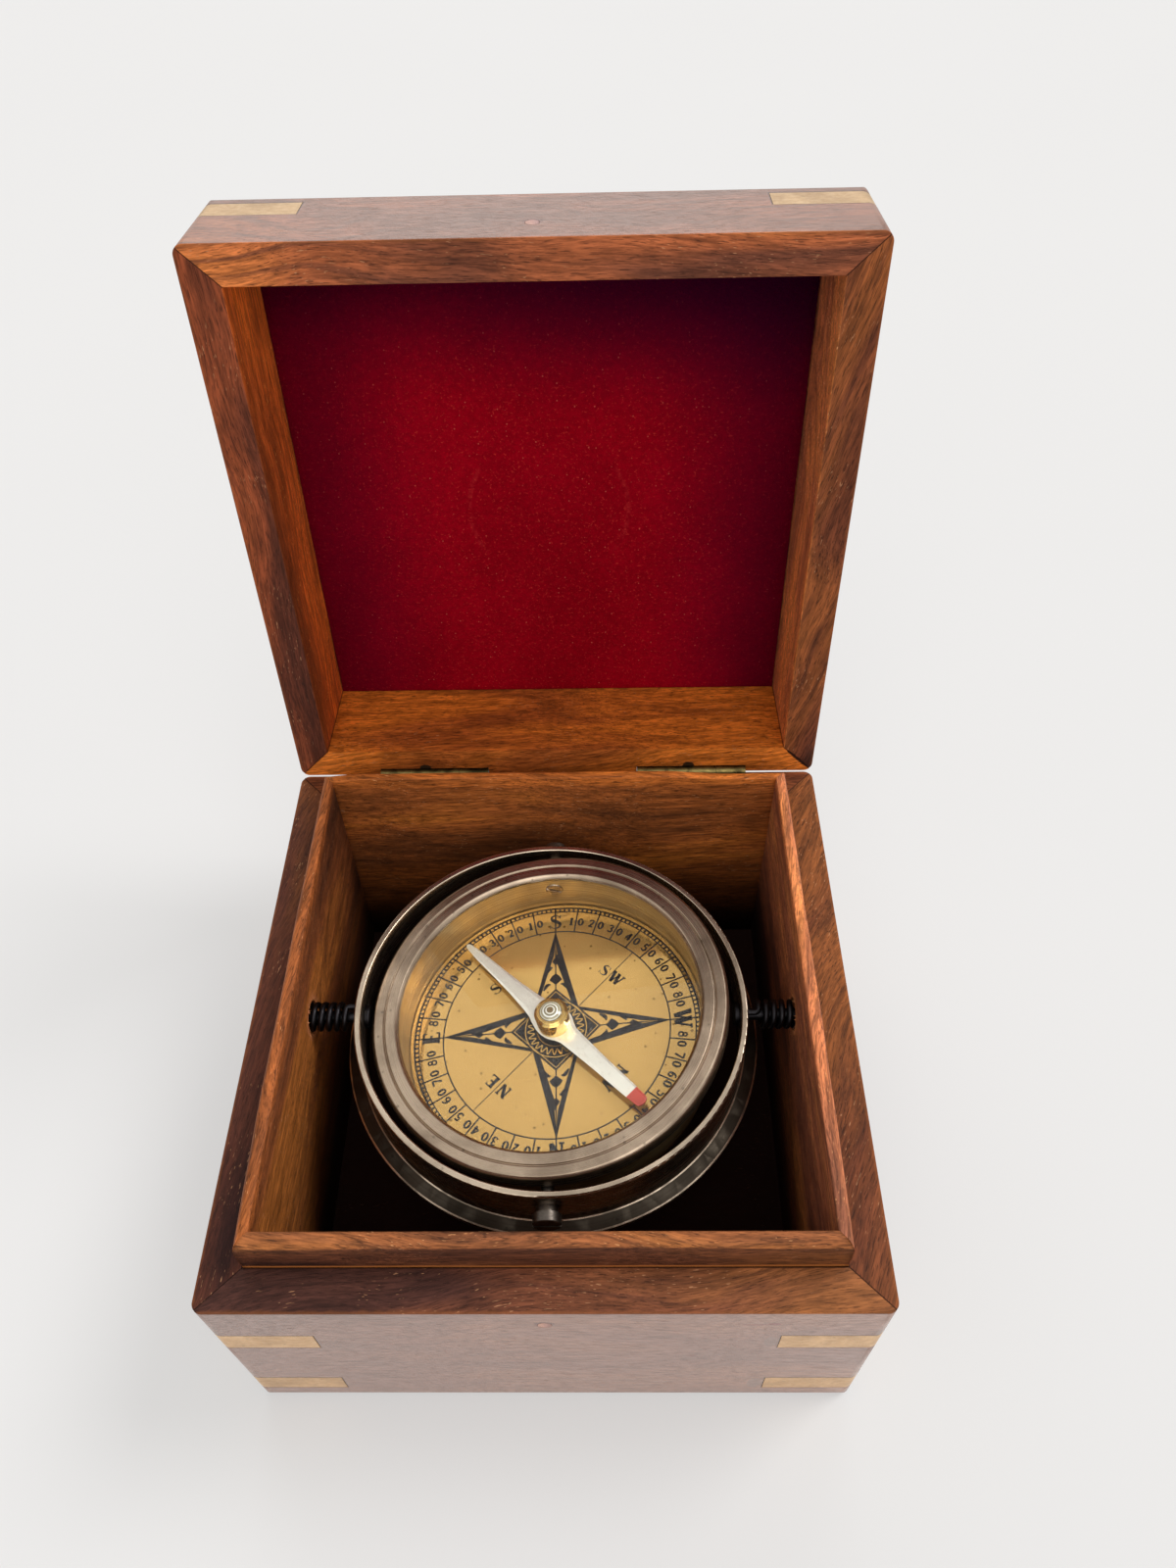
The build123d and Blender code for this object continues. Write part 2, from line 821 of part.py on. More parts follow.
def lining_board(side):
    """A thin mitred board that stands on the bottom and rises above the rim."""
    top = base_height + lip_height
    with BuildPart() as board:
        with BuildSketch(base_frame.offset(bottom_thickness)):
            with BuildLine():
                Polyline(*mitred_outline(side, lining_half_width, lining_half_depth, lining), close=True)
            make_face()
        extrude(amount=top - bottom_thickness)
        long_axis = Axis.X if side in endways else Axis.Y
        fillet(board.edges().filter_by(long_axis).group_by(Axis.Z)[-1], radius=lining_round)
        if side in sideways:
            for bore in wall_bores(side):
                add(bore.part, mode=Mode.SUBTRACT)
    return board


# Lid walls, board and velvet
def lid_parts():
    pockets = [strap_ring(lid_frame, lid_strap_middle, lid_strap_height, inlay_gap)]
    own_cuts = {
        "front": [front_plug(lid_frame, plug_above_rim, inlay_gap)],
        "back": [hinge_mortises("lid")],
    }
    for side in sides:
        cuts = pockets + own_cuts.get(side, [])
        save(wall_board(lid_frame, side, lid_wall, lid_height, lid_height, cuts), f"lid_{side}_wall")
    with BuildPart() as board:
        with BuildSketch(lid_frame.offset(lid_height - lid_board)):
            Rectangle(box_width - 2 * lid_wall, box_depth - 2 * lid_wall)
        extrude(amount=lid_board)
    save(board, "lid_board")
    with BuildPart() as velvet:
        with BuildSketch(lid_frame.offset(lid_height - lid_board - velvet_thickness)):
            Rectangle(box_width - 2 * (lid_wall + velvet_gap), box_depth - 2 * (lid_wall + velvet_gap))
        extrude(amount=velvet_thickness)
    save(velvet, "lid_velvet")
    save(strap_ring(lid_frame, lid_strap_middle, lid_strap_height, 0), "lid_corner_straps")
    save(front_plug(lid_frame, plug_above_rim, 0), "lid_front_plug")


def hinge_parts():
    for name, place in hinge_places.items():
        for owner in hinge_frames:
            save(hinge_leaf(owner, place), f"hinge_{name}_{owner}_leaf")
        save(hinge_pin(place), f"hinge_{name}_pin")
    for owner in hinge_frames:
        save(hinge_screws(owner, 0), f"hinge_{owner}_screws")


def gimbal_parts():
    save(gimbal_ring(), "gimbal_ring")
    for name, direction in sideways.items():
        save(ring_pivot_screw(direction), f"ring_pivot_screw_{name}")
        spring, wire = pivot_spring(direction)
        save(spring, f"pivot_spring_{name}")
        print(f"pivot_spring_{name}: least gap to itself {least_gap(wire):.2f} mm")
    for name, direction in endways.items():
        save(bowl_pivot_screw(direction), f"bowl_pivot_screw_{name}")


def compass_parts():
    save(compass_bowl(), "compass_bowl")
    save(bezel(), "bezel")
    save(disc(collar_radius - glass_gap, collar_top, glass_top), "glass")
    save(dial_seat_ring(), "dial_seat_ring")
    save(dial(), "dial")
    save(needle_pivot(), "needle_pivot")
    save(bowl_weight(), "bowl_weight")
    save(weight_screw(0), "bowl_weight_screw")
    save(needle(), "needle")
    save(needle_hub(), "needle_hub")
    save(needle_cap(), "needle_cap")


case_parts()
lid_parts()
hinge_parts()
gimbal_parts()
compass_parts()
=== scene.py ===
# %% [markdown]
# # A compass box, dressed for its picture
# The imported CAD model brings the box, the gimbal and the compass as fixed meshes in metres. This file gives
# each of them its finish, makes the pieces that a solid modeller can't make well, such as velvet, hand-rounded
# wood and print, and sets up light and camera. Each step is a cell of its own, so that it can be run and looked
# at alone. A piece is always worked out from the CAD's own frame, so nothing is fitted afterwards.

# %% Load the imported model
from math import cos, pi, radians, sin

import bmesh
import bpy
import numpy as np
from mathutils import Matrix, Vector


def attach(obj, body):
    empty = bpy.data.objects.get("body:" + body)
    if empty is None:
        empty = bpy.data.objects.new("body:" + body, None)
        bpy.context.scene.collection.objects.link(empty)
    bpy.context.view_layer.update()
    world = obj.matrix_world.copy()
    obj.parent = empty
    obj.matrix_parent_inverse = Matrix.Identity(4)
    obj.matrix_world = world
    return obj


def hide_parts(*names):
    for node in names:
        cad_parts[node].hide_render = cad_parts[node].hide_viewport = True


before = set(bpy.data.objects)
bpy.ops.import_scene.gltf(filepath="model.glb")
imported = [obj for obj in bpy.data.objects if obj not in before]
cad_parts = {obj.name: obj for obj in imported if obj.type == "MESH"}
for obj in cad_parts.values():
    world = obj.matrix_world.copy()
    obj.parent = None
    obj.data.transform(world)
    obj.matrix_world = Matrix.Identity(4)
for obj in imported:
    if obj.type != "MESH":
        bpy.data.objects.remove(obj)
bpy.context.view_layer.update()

# %% [markdown]
# ## The camera
# The photograph was taken from close by, above the front edge, and looks down into the box. The camera's place
# was solved from the box's corners, so perspective and framing come out as they are in the photograph. The
# small shift is what was left of its framing.

# %% The photograph's viewpoint
LENS, SENSOR_LONG_SIDE, SHIFT = 26.524, 36.0, (0.00569, -0.00205)
CAMERA_PLACE, CAMERA_TURN = (0.01361, -0.1474, 0.3275), (40.47, 1.247, 0.296)


def into_scene(name, data):
    """A new object that holds this data, linked into the scene."""
    made = bpy.data.objects.new(name, data)
    bpy.context.collection.objects.link(made)
    return made


camera = into_scene("camera", bpy.data.cameras.new("camera"))
camera.data.lens, camera.data.sensor_width = LENS, SENSOR_LONG_SIDE
camera.data.shift_x, camera.data.shift_y = SHIFT
camera.data.clip_start = 0.01
camera.location = CAMERA_PLACE
camera.rotation_euler = [radians(angle) for angle in CAMERA_TURN]
bpy.context.scene.camera = camera
bpy.context.scene.view_settings.view_transform = "Standard"
print("camera at", tuple(camera.location))

# %% [markdown]
# ## A bench for materials
# Every finish here is a small network of shader nodes. The helpers keep them readable: each adds one node to the
# tree that lies on the bench and gives back its result, so that a network reads like a sum. Colours are written
# as the eye sees them, from 0 to 255, and made linear in one place.

# %% Helpers for node networks
MM = 0.001


class Bench:
    """Holds the tree that the helpers add to: that of the material or group in the making."""
    tree = None


def shade(*display):
    """A linear colour from display values: each channel over 255, raised by the display's curve."""
    return tuple((c / 255 / 12.92) if c < 11 else ((c / 255 + 0.055) / 1.055) ** 2.4 for c in display) + (1,)


def feed(inputs, ins):
    """Fill sockets: one gets a link where its value is another socket, else the value itself."""
    for name, value in ins.items():
        if isinstance(value, bpy.types.NodeSocket):
            Bench.tree.links.new(value, inputs[name])
        else:
            inputs[name].default_value = value


def node(kind, ins=None, **settings):
    """Add a shader node with its settings and fill its sockets."""
    made = Bench.tree.nodes.new("ShaderNode" + kind)
    for name, value in settings.items():
        setattr(made, name, value)
    feed(made.inputs, ins or {})
    return made


def mix(factor, first, second, how="MIX"):
    """Two colours mixed by a factor."""
    return node("Mix", {0: factor, 6: first, 7: second}, data_type="RGBA", blend_type=how).outputs[2]


def tinted(colour, by):
    """A colour multiplied by another: a socket, or numbers for red, green and blue."""
    return mix(1.0, colour, (*by[:3], 1) if isinstance(by, tuple) else by, "MULTIPLY")


def grey(value):
    """A value as a colour, to multiply another colour by."""
    return node("CombineColor", {0: value, 1: value, 2: value}).outputs[0]


def span(value, low, high, out_low=0.0, out_high=1.0):
    """A soft step: below low it gives out_low, above high it gives out_high."""
    ins = {"Value": value, "From Min": low, "From Max": high, "To Min": out_low, "To Max": out_high}
    return node("MapRange", ins, interpolation_type="SMOOTHSTEP").outputs[0]


def fall(value, low, high, top=1.0):
    """The same soft step downwards, from top to nothing."""
    return span(value, low, high, top, 0.0)


print("a colour made linear", [round(v, 3) for v in shade(158, 94, 48)])


# %% Helpers for sums on values
def calc(operation, first, second=0.0, clamp=False):
    """One sum on one or two values."""
    return node("Math", {0: first, 1: second}, operation=operation, use_clamp=clamp).outputs[0]


def plus(first, second):
    return calc("ADD", first, second)


def minus(first, second, clamp=False):
    return calc("SUBTRACT", first, second, clamp)


def times(first, second):
    return calc("MULTIPLY", first, second)


def larger(first, second):
    return calc("MAXIMUM", first, second)


def smaller(first, second):
    return calc("MINIMUM", first, second)


def size(value):
    return calc("ABSOLUTE", value)


def off(value, level):
    """How far a value is from a level, on either side."""
    return size(minus(value, level))


# %% Helpers for places and noise
def axes(place):
    """A place's three coordinates."""
    return node("SeparateXYZ", {0: place}).outputs


def point(x, y, z=0.0):
    """A place from three coordinates."""
    return node("CombineXYZ", {"X": x, "Y": y, "Z": z}).outputs[0]


def length(place):
    """A place's distance from the origin."""
    return node("VectorMath", {0: place}, operation="LENGTH").outputs["Value"]


def speckle(place, scale, detail=2.0, roughness=0.5, distortion=0.0):
    """Soft noise between 0 and 1."""
    ins = {"Vector": place, "Scale": scale, "Detail": detail, "Roughness": roughness, "Distortion": distortion}
    return node("TexNoise", ins).outputs[0]


def stretched(place, scales, turn=(0, 0, 0), shift=(0, 0, 0)):
    """Coordinates scaled by axis, turned and shifted."""
    return node("Mapping", {"Vector": place, "Scale": scales, "Rotation": turn, "Location": shift}).outputs[0]


def strands(place, scales, detail, *more, **shift):
    """Noise drawn out along the first axis."""
    return speckle(stretched(place, scales, **shift), 1.0, detail, *more)


def spot(place, centre, radii, turn=0.0, ragged=0.3):
    """A ragged ellipse, 1 inside, 0 outside: centre and radii in millimetres, turned about the upright axis."""
    near = node("Mapping", {"Vector": place, "Location": [v * MM for v in centre],
                            "Rotation": (0, 0, radians(turn)), "Scale": [v * MM for v in radii]},
                vector_type="TEXTURE").outputs[0]
    rag = times(minus(speckle(place, 900.0, 3.0), 0.5), 2 * ragged)
    return fall(plus(length(near), rag), 0.8, 1.0)


def dots(place, scale, reach, chosen, strength=1.0):
    """Scattered dots: round the points of a cell pattern, on some of its cells only."""
    cells = node("TexVoronoi", {"Vector": place, "Scale": scale}).outputs
    some = span(node("SeparateColor", {0: cells["Color"]}).outputs[0], *chosen)
    return times(fall(cells["Distance"], *reach, strength), some)


# %% Helpers for whole materials and groups
def new_material(name):
    """An empty material, with its tree on the bench."""
    made = bpy.data.materials.new(name)
    made.use_nodes = True
    Bench.tree = made.node_tree
    Bench.tree.nodes.clear()
    return made


def finish(colour, roughness, height=None, bump=0.3, distance=0.0002, **plain):
    """The Principled shader of a material, with its relief from a height through one Bump node."""
    ins = {"Base Color": colour, "Roughness": roughness}
    ins.update({name.replace("_", " "): value for name, value in plain.items()})
    if height is not None:
        ins["Normal"] = node("Bump", {"Height": height, "Strength": bump, "Distance": distance}).outputs[0]
    shader = node("BsdfPrincipled", ins)
    node("OutputMaterial", {"Surface": shader.outputs[0]})
    return shader


def surface_of(factor, first, second):
    """A material's surface that goes from one shader over to another."""
    mixed = node("MixShader", {0: factor, 1: first.outputs[0], 2: second.outputs[0]})
    node("OutputMaterial", {"Surface": mixed.outputs[0]})


def group_of(name, takes, gives):
    """A named node group, laid on the bench: itself, what comes in and what goes out."""
    made = Bench.tree = bpy.data.node_groups.new(name, "ShaderNodeTree")
    for way, labels in (("INPUT", takes), ("OUTPUT", gives)):
        for label in labels.split():
            kind = "NodeSocketVector" if label == "Place" else "NodeSocketFloat"
            made.interface.new_socket(label, in_out=way, socket_type=kind)
    return made, made.nodes.new("NodeGroupInput").outputs, made.nodes.new("NodeGroupOutput").inputs


def use(group, **ins):
    """Place a node group and give back its outputs."""
    return node("Group", ins, node_tree=group).outputs


print("helpers for", len(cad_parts), "nodes' finishes")

# %% [markdown]
# ## Where a pattern lies
# Grain has to run along a board and turning marks round an axis, at any pose. So every pattern starts from the
# object's own coordinates, which ride with it. The base uses them as they are. The lid's are turned shut about
# the hinge, so that one wood covers both. The compass's are moved to its pivot and turned level.

# %% Frames of the lid and of the bowl
LID_OPEN, BOWL_TILT = radians(96.5), radians(6.5)
HINGE, PIVOT = np.array([0, 0.0751, 0.0702]), np.array([0, 0, 0.0616])
RIM_GAP = 0.0004
BOWL_X, BOWL_Y = np.array([cos(BOWL_TILT), 0, sin(BOWL_TILT)]), np.array([0.0, 1, 0])
BOWL_AXIS = np.array([-sin(BOWL_TILT), 0, cos(BOWL_TILT)])
LID_X = np.array([1.0, 0, 0])
LID_OUT = np.array([0, sin(LID_OPEN), cos(LID_OPEN)])
LID_BACK = np.array([0, cos(LID_OPEN), -sin(LID_OPEN)])
LID_MIDDLE = HINGE - LID_BACK * HINGE[1] + LID_OUT * RIM_GAP / 2
TURN_SHUT = np.array([LID_X, [0, cos(LID_OPEN), -sin(LID_OPEN)], [0, sin(LID_OPEN), cos(LID_OPEN)]])
TURN_LEVEL = np.array([BOWL_X, BOWL_Y, BOWL_AXIS])
FRAMES = {"lid": ((LID_OPEN, 0, 0), HINGE - TURN_SHUT @ HINGE), "ring": ((0, 0, 0), -PIVOT),
          "bowl": ((0, BOWL_TILT, 0), -TURN_LEVEL @ PIVOT)}


def place_in(where):
    """Object coordinates for a pattern, as the base, the lid turned shut, the ring, or the bowl turned level."""
    plain = node("TexCoord").outputs["Object"]
    if where == "base":
        return plain
    turn, shift = FRAMES[where]
    return stretched(plain, (1, 1, 1), turn, tuple(shift))


def on_bowl(x, y, h):
    """Points of the bowl's frame, in metres: across, back and up its axis, as rows of x, y, z."""
    x, y, h = np.broadcast_arrays(x, y, h)
    return PIVOT + x[..., None] * BOWL_X + y[..., None] * BOWL_Y + h[..., None] * BOWL_AXIS


def on_lid(x, back, out):
    """Points of the lid's frame, in metres: across, towards the hinge and from its rim to its board."""
    x, back, out = np.broadcast_arrays(x, back, out)
    return LID_MIDDLE + x[..., None] * LID_X + back[..., None] * LID_BACK + out[..., None] * LID_OUT


print("lid frame", LID_MIDDLE.round(4), "bowl axis", BOWL_AXIS.round(4))

# %% [markdown]
# ## Wood
# The boards are an oiled rosewood. Its figure has four scales: zones from dark brown to golden, thin growth
# rings, streaks a few millimetres long, and fine fibre with open pores. Each is a noise stretched along the
# grain. The grain itself bends, so every noise is read at a place that has been pushed aside by a slow one. It
# is one group, because every board uses it, with its own seed so that no two boards match.

# %% The figure of wood, as a group
BEND, RINGS_PER_METRE, RING_WANDER = 0.017, 1500.0, 26.0
WOOD, taken, given = group_of("wood figure", "Place Seed", "Zones Rings Streaks Fibre Pores Dust")
offset = point(taken["Seed"], taken["Seed"], taken["Seed"])
moved = node("VectorMath", {0: taken["Place"], 1: offset}, operation="ADD").outputs[0]
push = times(minus(speckle(moved, 17.0, 1.0), 0.5), BEND)
bent = node("VectorMath", {0: moved, 1: point(0.0, push, times(push, 0.7))}, operation="ADD").outputs[0]
zones = strands(bent, (7, 46, 46), 3.0, 0.5, 0.4)
_, bent_y, bent_z = axes(bent)
depth = plus(bent_y, times(bent_z, 0.6))
ring = calc("SINE", plus(times(depth, RINGS_PER_METRE), times(zones, RING_WANDER)))
dust = span(strands(bent, (620, 3100, 3100), 1.0, 0.4, shift=(0.37, 0.11, 0.23)), 0.68, 0.74)
feed(given, {
    "Zones": zones,
    "Rings": times(span(ring, 0.45, 1.0), span(strands(bent, (22, 90, 90), 2.0), 0.42, 0.62)),
    "Streaks": strands(bent, (45, 480, 480), 3.0, 0.62, 0.2),
    "Fibre": strands(bent, (150, 1700, 1700), 4.0, 0.7),
    "Pores": span(strands(bent, (330, 4200, 4200), 1.0, 0.4), 0.60, 0.68),
    "Dust": times(dust, span(speckle(moved, 90.0, 2.0), 0.45, 0.6)),
})
print("wood gives", [socket.name for socket in given if socket.name])

# %% Wear along the box's outer edges, as a group
HALF_BOX, EDGE_LEVELS = 0.075, (0.0, 0.0700, 0.0704, 0.1017)
WEAR, taken, given = group_of("edge wear", "Place Reach", "Mask")
x, y, z = axes(taken["Place"])
near_x, near_y, near_z = off(size(x), HALF_BOX), off(size(y), HALF_BOX), off(z, EDGE_LEVELS[0])
for level in EDGE_LEVELS[1:]:
    near_z = smaller(near_z, off(z, level))
# A point on an edge is near two of the three planes at once, so the middle one of the three distances counts.
edge = smaller(smaller(larger(near_x, near_y), larger(near_y, near_z)), larger(near_x, near_z))
rough_reach = times(speckle(taken["Place"], 350.0, 3.0), taken["Reach"])
feed(given, {"Mask": minus(1.0, calc("DIVIDE", edge, rough_reach), True)})
print("edges at levels", EDGE_LEVELS)

# %% Turning marks, tarnish and specks for metal, as groups
TURNED, taken, given = group_of("turning marks", "Place Fineness", "Lines")
x, y, z = axes(taken["Place"])
radius = calc("SQRT", plus(times(x, x), times(y, y)))
across = point(times(radius, taken["Fineness"]), times(z, taken["Fineness"]))
feed(given, {"Lines": speckle(across, 1.0, 4.0, 0.7)})

TARNISH, taken, given = group_of("tarnish", "Place Scale", "Blotches Specks")
feed(given, {"Blotches": span(speckle(taken["Place"], taken["Scale"], 5.0, 0.6, 0.4), 0.35, 0.7),
             "Specks": dots(taken["Place"], 420.0, (0.12, 0.20), (0.72, 0.74))})
print("groups", [group.name for group in (WOOD, WEAR, TURNED, TARNISH)])

# %% [markdown]
# ## The box's boards
# The CAD boards have the right shape, so they stay and get a wood whose grain runs along each of them. A lining
# board is painted darker towards the bottom, as painted shade deep in the box. A material is built up here as a
# painter would: a ground with its figure first, then one thin coat after another, each laid where its mask says.

# %% A board's ground
GRAIN_TURNS = {"across": (0, 0, 0), "deep": (0, 0, radians(90)), "upright": (0, radians(90), 0)}
DARK_WOOD, MID_WOOD, GOLD_WOOD = shade(74, 42, 31), shade(122, 68, 42), shade(158, 94, 48)
FRESH_WOOD, WOOD_DUST = shade(176, 104, 52), shade(206, 150, 108)
PORE, DEEP_PAINTED_SHADE, SEAM = shade(34, 16, 11), shade(8, 4, 3), shade(62, 34, 28)
RIM_LEVEL, FACE_FROM = 0.0702, (0.0004, 0.0009)


class Board:
    """A board's finish in the making: where its points lie on the shut box, its figure and its colour so far."""

    def __init__(self, where, grain, seed, slant):
        self.place = place_in(where)
        turn = [a + b for a, b in zip(GRAIN_TURNS[grain], (0, 0, radians(slant)))]
        self.figure = use(WOOD, Place=stretched(self.place, (1, 1, 1), turn), Seed=seed)
        x, y, self.level = axes(self.place)
        self.across, self.deep = size(x), size(y)
        self.reach = larger(self.across, self.deep)

    def upright(self, low, high):
        """Low at the rim's level, high on the upright faces above and below it."""
        return span(off(self.level, RIM_LEVEL), *FACE_FROM, low, high)

    def lay(self, share, colour):
        """Lay a colour over what is there."""
        self.colour = mix(share, self.colour, colour)

    def stain(self, share, by):
        """Multiply what is there, where the share says."""
        self.lay(share, tinted(self.colour, by))

    def part(self, name, low, high):
        """One part of the figure as a shade of grey."""
        return grey(span(self.figure[name], 0.28, 0.72, low, high))

    def ground(self, tint, contrast, ring_depth, zone_shift):
        """Zones, rings, streaks, fibre, pores and dust, in one tint."""
        zones = plus(self.figure["Zones"], zone_shift)
        self.colour = mix(span(zones, 0.34, 0.50), DARK_WOOD, MID_WOOD)
        self.lay(span(zones, 0.48, 0.66), GOLD_WOOD)
        self.lay(times(self.figure["Rings"], ring_depth), DARK_WOOD)
        for name, low, high in (("Streaks", 0.70, 1.24), ("Fibre", 0.54, 1.40)):
            self.colour = tinted(self.colour, self.part(name, 1 - (1 - low) * contrast, 1 + (high - 1) * contrast))
        self.lay(times(self.figure["Pores"], 0.6 * contrast), PORE)
        self.colour = tinted(self.colour, tint)
        self.lay(times(self.figure["Dust"], 0.55), WOOD_DUST)


print("rim at", RIM_LEVEL)

# %% [markdown]
# ### Coats over the ground
# Some coats are things that have happened to the box: edges worn pale, mitres and straps let in with thin dark
# joints, and a thin polish. Others are painted light and shade: lining tops partly cut fresh and partly painted
# light, their outer sides and lower parts painted shade, and outer faces partly dusty and partly painted glare.
# Heights are those of the shut box.

# %% Coats
INNER_REACH, LINING_REACH, STRAP_END = 0.0661, 0.0652, 0.052
JOINT_REACH, FACE_REACH, STRAP_REACH = (0.0657, 0.0660), (0.0741, 0.0744), (0.0735, 0.0738)
GAP_REACH, FOOT_REACH = (0.0656, 0.0660), (0.0650, 0.0652)
CROWN_FROM, FRESH_FROM = (0.1008, 0.1012), (0.0787, 0.0800)
FOOT_LEVEL, PAINTED_SHADE_DEPTHS = (0.0706, 0.0709), (0.012, 0.056)
BASE_STRAPS, LID_STRAPS = ((0.0081, 0.0173), (0.0442, 0.0534)), ((0.0884, 0.0964),)


def worn_lining(board):
    """The top is partly fresh wood bared by rounding, partly painted light; the side and lower part are painted
    shade.
    """
    painted_side_shade, fresh = (tinted(board.colour, by) for by in ((0.50, 0.46, 0.52), (1.55, 1.5, 1.25)))
    # Painted light, partly fresh wood: the rounded top is painted lighter.
    board.lay(span(minus(board.level, times(board.figure["Zones"], 0.0012)), *FRESH_FROM), fresh)
    # Painted shade: the outer side above the rim is painted darker.
    board.lay(span(board.reach, LINING_REACH - 0.0001, LINING_REACH + 0.0001), painted_side_shade)
    board.lay(times(fall(board.level, *FOOT_LEVEL), span(board.reach, *FOOT_REACH)), FRESH_WOOD)
    # Painted shade: lower down the board is painted nearly black, for the shade deep in the box.
    board.lay(fall(board.level, *PAINTED_SHADE_DEPTHS, 0.95), DEEP_PAINTED_SHADE)


def worn_edges(board, on_base):
    """Pale edges, the mitres' thin dark lines, and on the base the gap between rim and lining."""
    board.lay(times(use(WEAR, Place=board.place, Reach=0.0016)["Mask"], 0.3), FRESH_WOOD)
    askew = off(board.across, board.deep)
    board.lay(times(fall(askew, 0.0001, 0.00032, 0.7), span(board.reach, *JOINT_REACH)), PORE)
    if on_base:
        board.lay(fall(board.reach, *GAP_REACH, 0.9), PORE)


def dusty_face(board, tone, share):
    """An even tone over the upright outer face: partly dust, partly painted glare of the bright floor."""
    upright = times(board.upright(0.0, 1.0), span(board.reach, *FACE_REACH))
    # Painted glare: on the two front walls this tone is a pale one, standing in for the sheen on them.
    board.lay(times(upright, share), tinted(shade(*tone), board.part("Fibre", 0.6, 1.3)))


def strap_seams(board, straps):
    """A thin dark seam round each strap, widest above it; the strap itself hides the rest."""
    lesser = smaller(board.across, board.deep)
    beyond = times(span(lesser, STRAP_END - 0.0005, STRAP_END - 0.0003), span(board.reach, *STRAP_REACH))
    for low, high in straps:
        band = times(span(board.level, low - 0.0003, low - 0.0001),
                     fall(board.level, high + 0.0005, high + 0.0008))
        board.lay(times(times(band, beyond), 0.8), SEAM)


def polish(board, shader, coat):
    """Only the upright outer faces are polished, a little unevenly; the sawn rims stay matt."""
    uneven = minus(span(board.figure["Fibre"], 0.3, 0.7, 0.66, 1.0), times(board.figure["Pores"], 0.3))
    feed(shader.inputs, {
        "Coat Weight": times(board.upright(0.0, coat), uneven),
        "Coat Normal": shader.inputs["Normal"].links[0].from_socket, "Coat Roughness": 0.22, "Coat IOR": 1.6,
        "Sheen Weight": board.upright(0.0, 0.3 * coat), "Sheen Tint": shade(236, 214, 200)})


print("coats for straps at", BASE_STRAPS, LID_STRAPS)


# %% Oiled wood
def wood(name, where, grain, seed, tint=(1, 1, 1), contrast=1.0, ring_depth=0.5, zone_shift=0.0, slant=0.0,
         coat=0.0, face=None, inside=None, crown=None, lining=False, shine=0.55, straps=(), marks=()):
    """A board's whole material: the ground, the coats that it has, and its polish."""
    made = new_material(name)
    board = Board(where, grain, seed, slant)
    board.ground(tint, contrast, ring_depth, zone_shift)
    if lining:
        worn_lining(board)
    else:
        worn_edges(board, where == "base")
    if inside:
        board.stain(fall(board.reach, INNER_REACH - 0.0003, INNER_REACH + 0.0003), inside)
    if crown:
        # The wall's top edge, round the lid's board, has a tone of its own.
        board.stain(span(board.level, *CROWN_FROM), crown)
    if face:
        dusty_face(board, *face)
    if straps:
        strap_seams(board, straps)
    for *ellipse, tone, strength in marks:
        board.lay(times(spot(board.place, *ellipse), strength), shade(*tone))
    roughness = span(board.figure["Fibre"], 0.2, 0.8, shine - 0.06, shine + 0.12)
    relief = minus(board.figure["Fibre"], board.figure["Pores"])
    shader = finish(board.colour, roughness, relief, 0.25, Specular_IOR_Level=0.12)
    if coat:
        polish(board, shader, coat)
    return made


def dress(name, material):
    """Give a CAD node one finish in all of its slots."""
    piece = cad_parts[name]
    piece.data.materials.clear()
    piece.data.materials.append(material)
    return piece


def ease_edges(piece, width):
    """A fine round on the sharp edges of a CAD mesh: merge its points, join flat faces, bevel what is sharp."""
    piece.modifiers.new("merge", "WELD").merge_threshold = 0.000005
    whole = piece.modifiers.new("join flat faces", "DECIMATE")
    whole.decimate_type, whole.angle_limit = "DISSOLVE", radians(0.5)
    round_off = piece.modifiers.new("round", "BEVEL")
    round_off.width, round_off.segments = width, 2
    round_off.limit_method, round_off.angle_limit = "ANGLE", radians(35)
    round_off.use_clamp_overlap, round_off.harden_normals = True, False


def grain_of(name):
    """Grain runs along a board: in depth on the left and right, else across."""
    return "deep" if "left" in name or "right" in name else "across"


print("ready to dress", len(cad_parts), "nodes")

# %% [markdown]
# ### One wood for each board
# The boards differ in tint, in contrast and in how the grain slants, as sawn boards do. Small marks stand where
# the photograph shows them: a scar and filler on the front, notches over the hinges painted as dark spots of
# painted shade, and a crack at one mitre.
# Each board's sharp edges get a fine round, as a plane and sandpaper leave them: the CAD mesh is merged and its
# flat faces are made whole first, because a bevel needs clean edges.

# %% The boards' looks
SCAR, FILLER, CRACK, NOTCH_SHADE = (118, 34, 26), (122, 98, 88), (24, 10, 8), (38, 34, 24)
CRESCENT, CHIP = (84, 44, 40), (116, 58, 42)
LID_CRACK = ((70.6, 70.6, 70.4), (5.6, 0.55, 1.5), 45, 0.55, CRACK, 0.9)
# Painted shade: each notch is a dark spot for the shade inside it.
SHADED_NOTCHES = [((x, 72.9, 70.3), (2.0, 1.8, 1.2), 0, 0.2, NOTCH_SHADE, 0.95) for x in (-38.2, 38.8)]
FRONT_MARKS = [
    ((49.5, -75, 62.3), (1.6, 1, 0.9), 0, 0.3, SCAR, 0.85), ((45.6, -75, 61.9), (3.4, 1, 0.5), 0, 0.4, SCAR, 0.6),
    ((33, -75, 37.5), (1.3, 1, 0.9), 0, 0.4, CHIP, 0.7), ((50.0, -75, 48.8), (1.7, 1, 4.4), 0, 0.2, FILLER, 0.6),
    ((49.6, -75, 12.7), (1.9, 1, 4.6), 0, 0.2, FILLER, 0.6), ((0, -75, 62.4), (2.5, 1, 1.5), 0, 0.25, CRESCENT, 0.7)]
BOARD_EASE = 0.00035
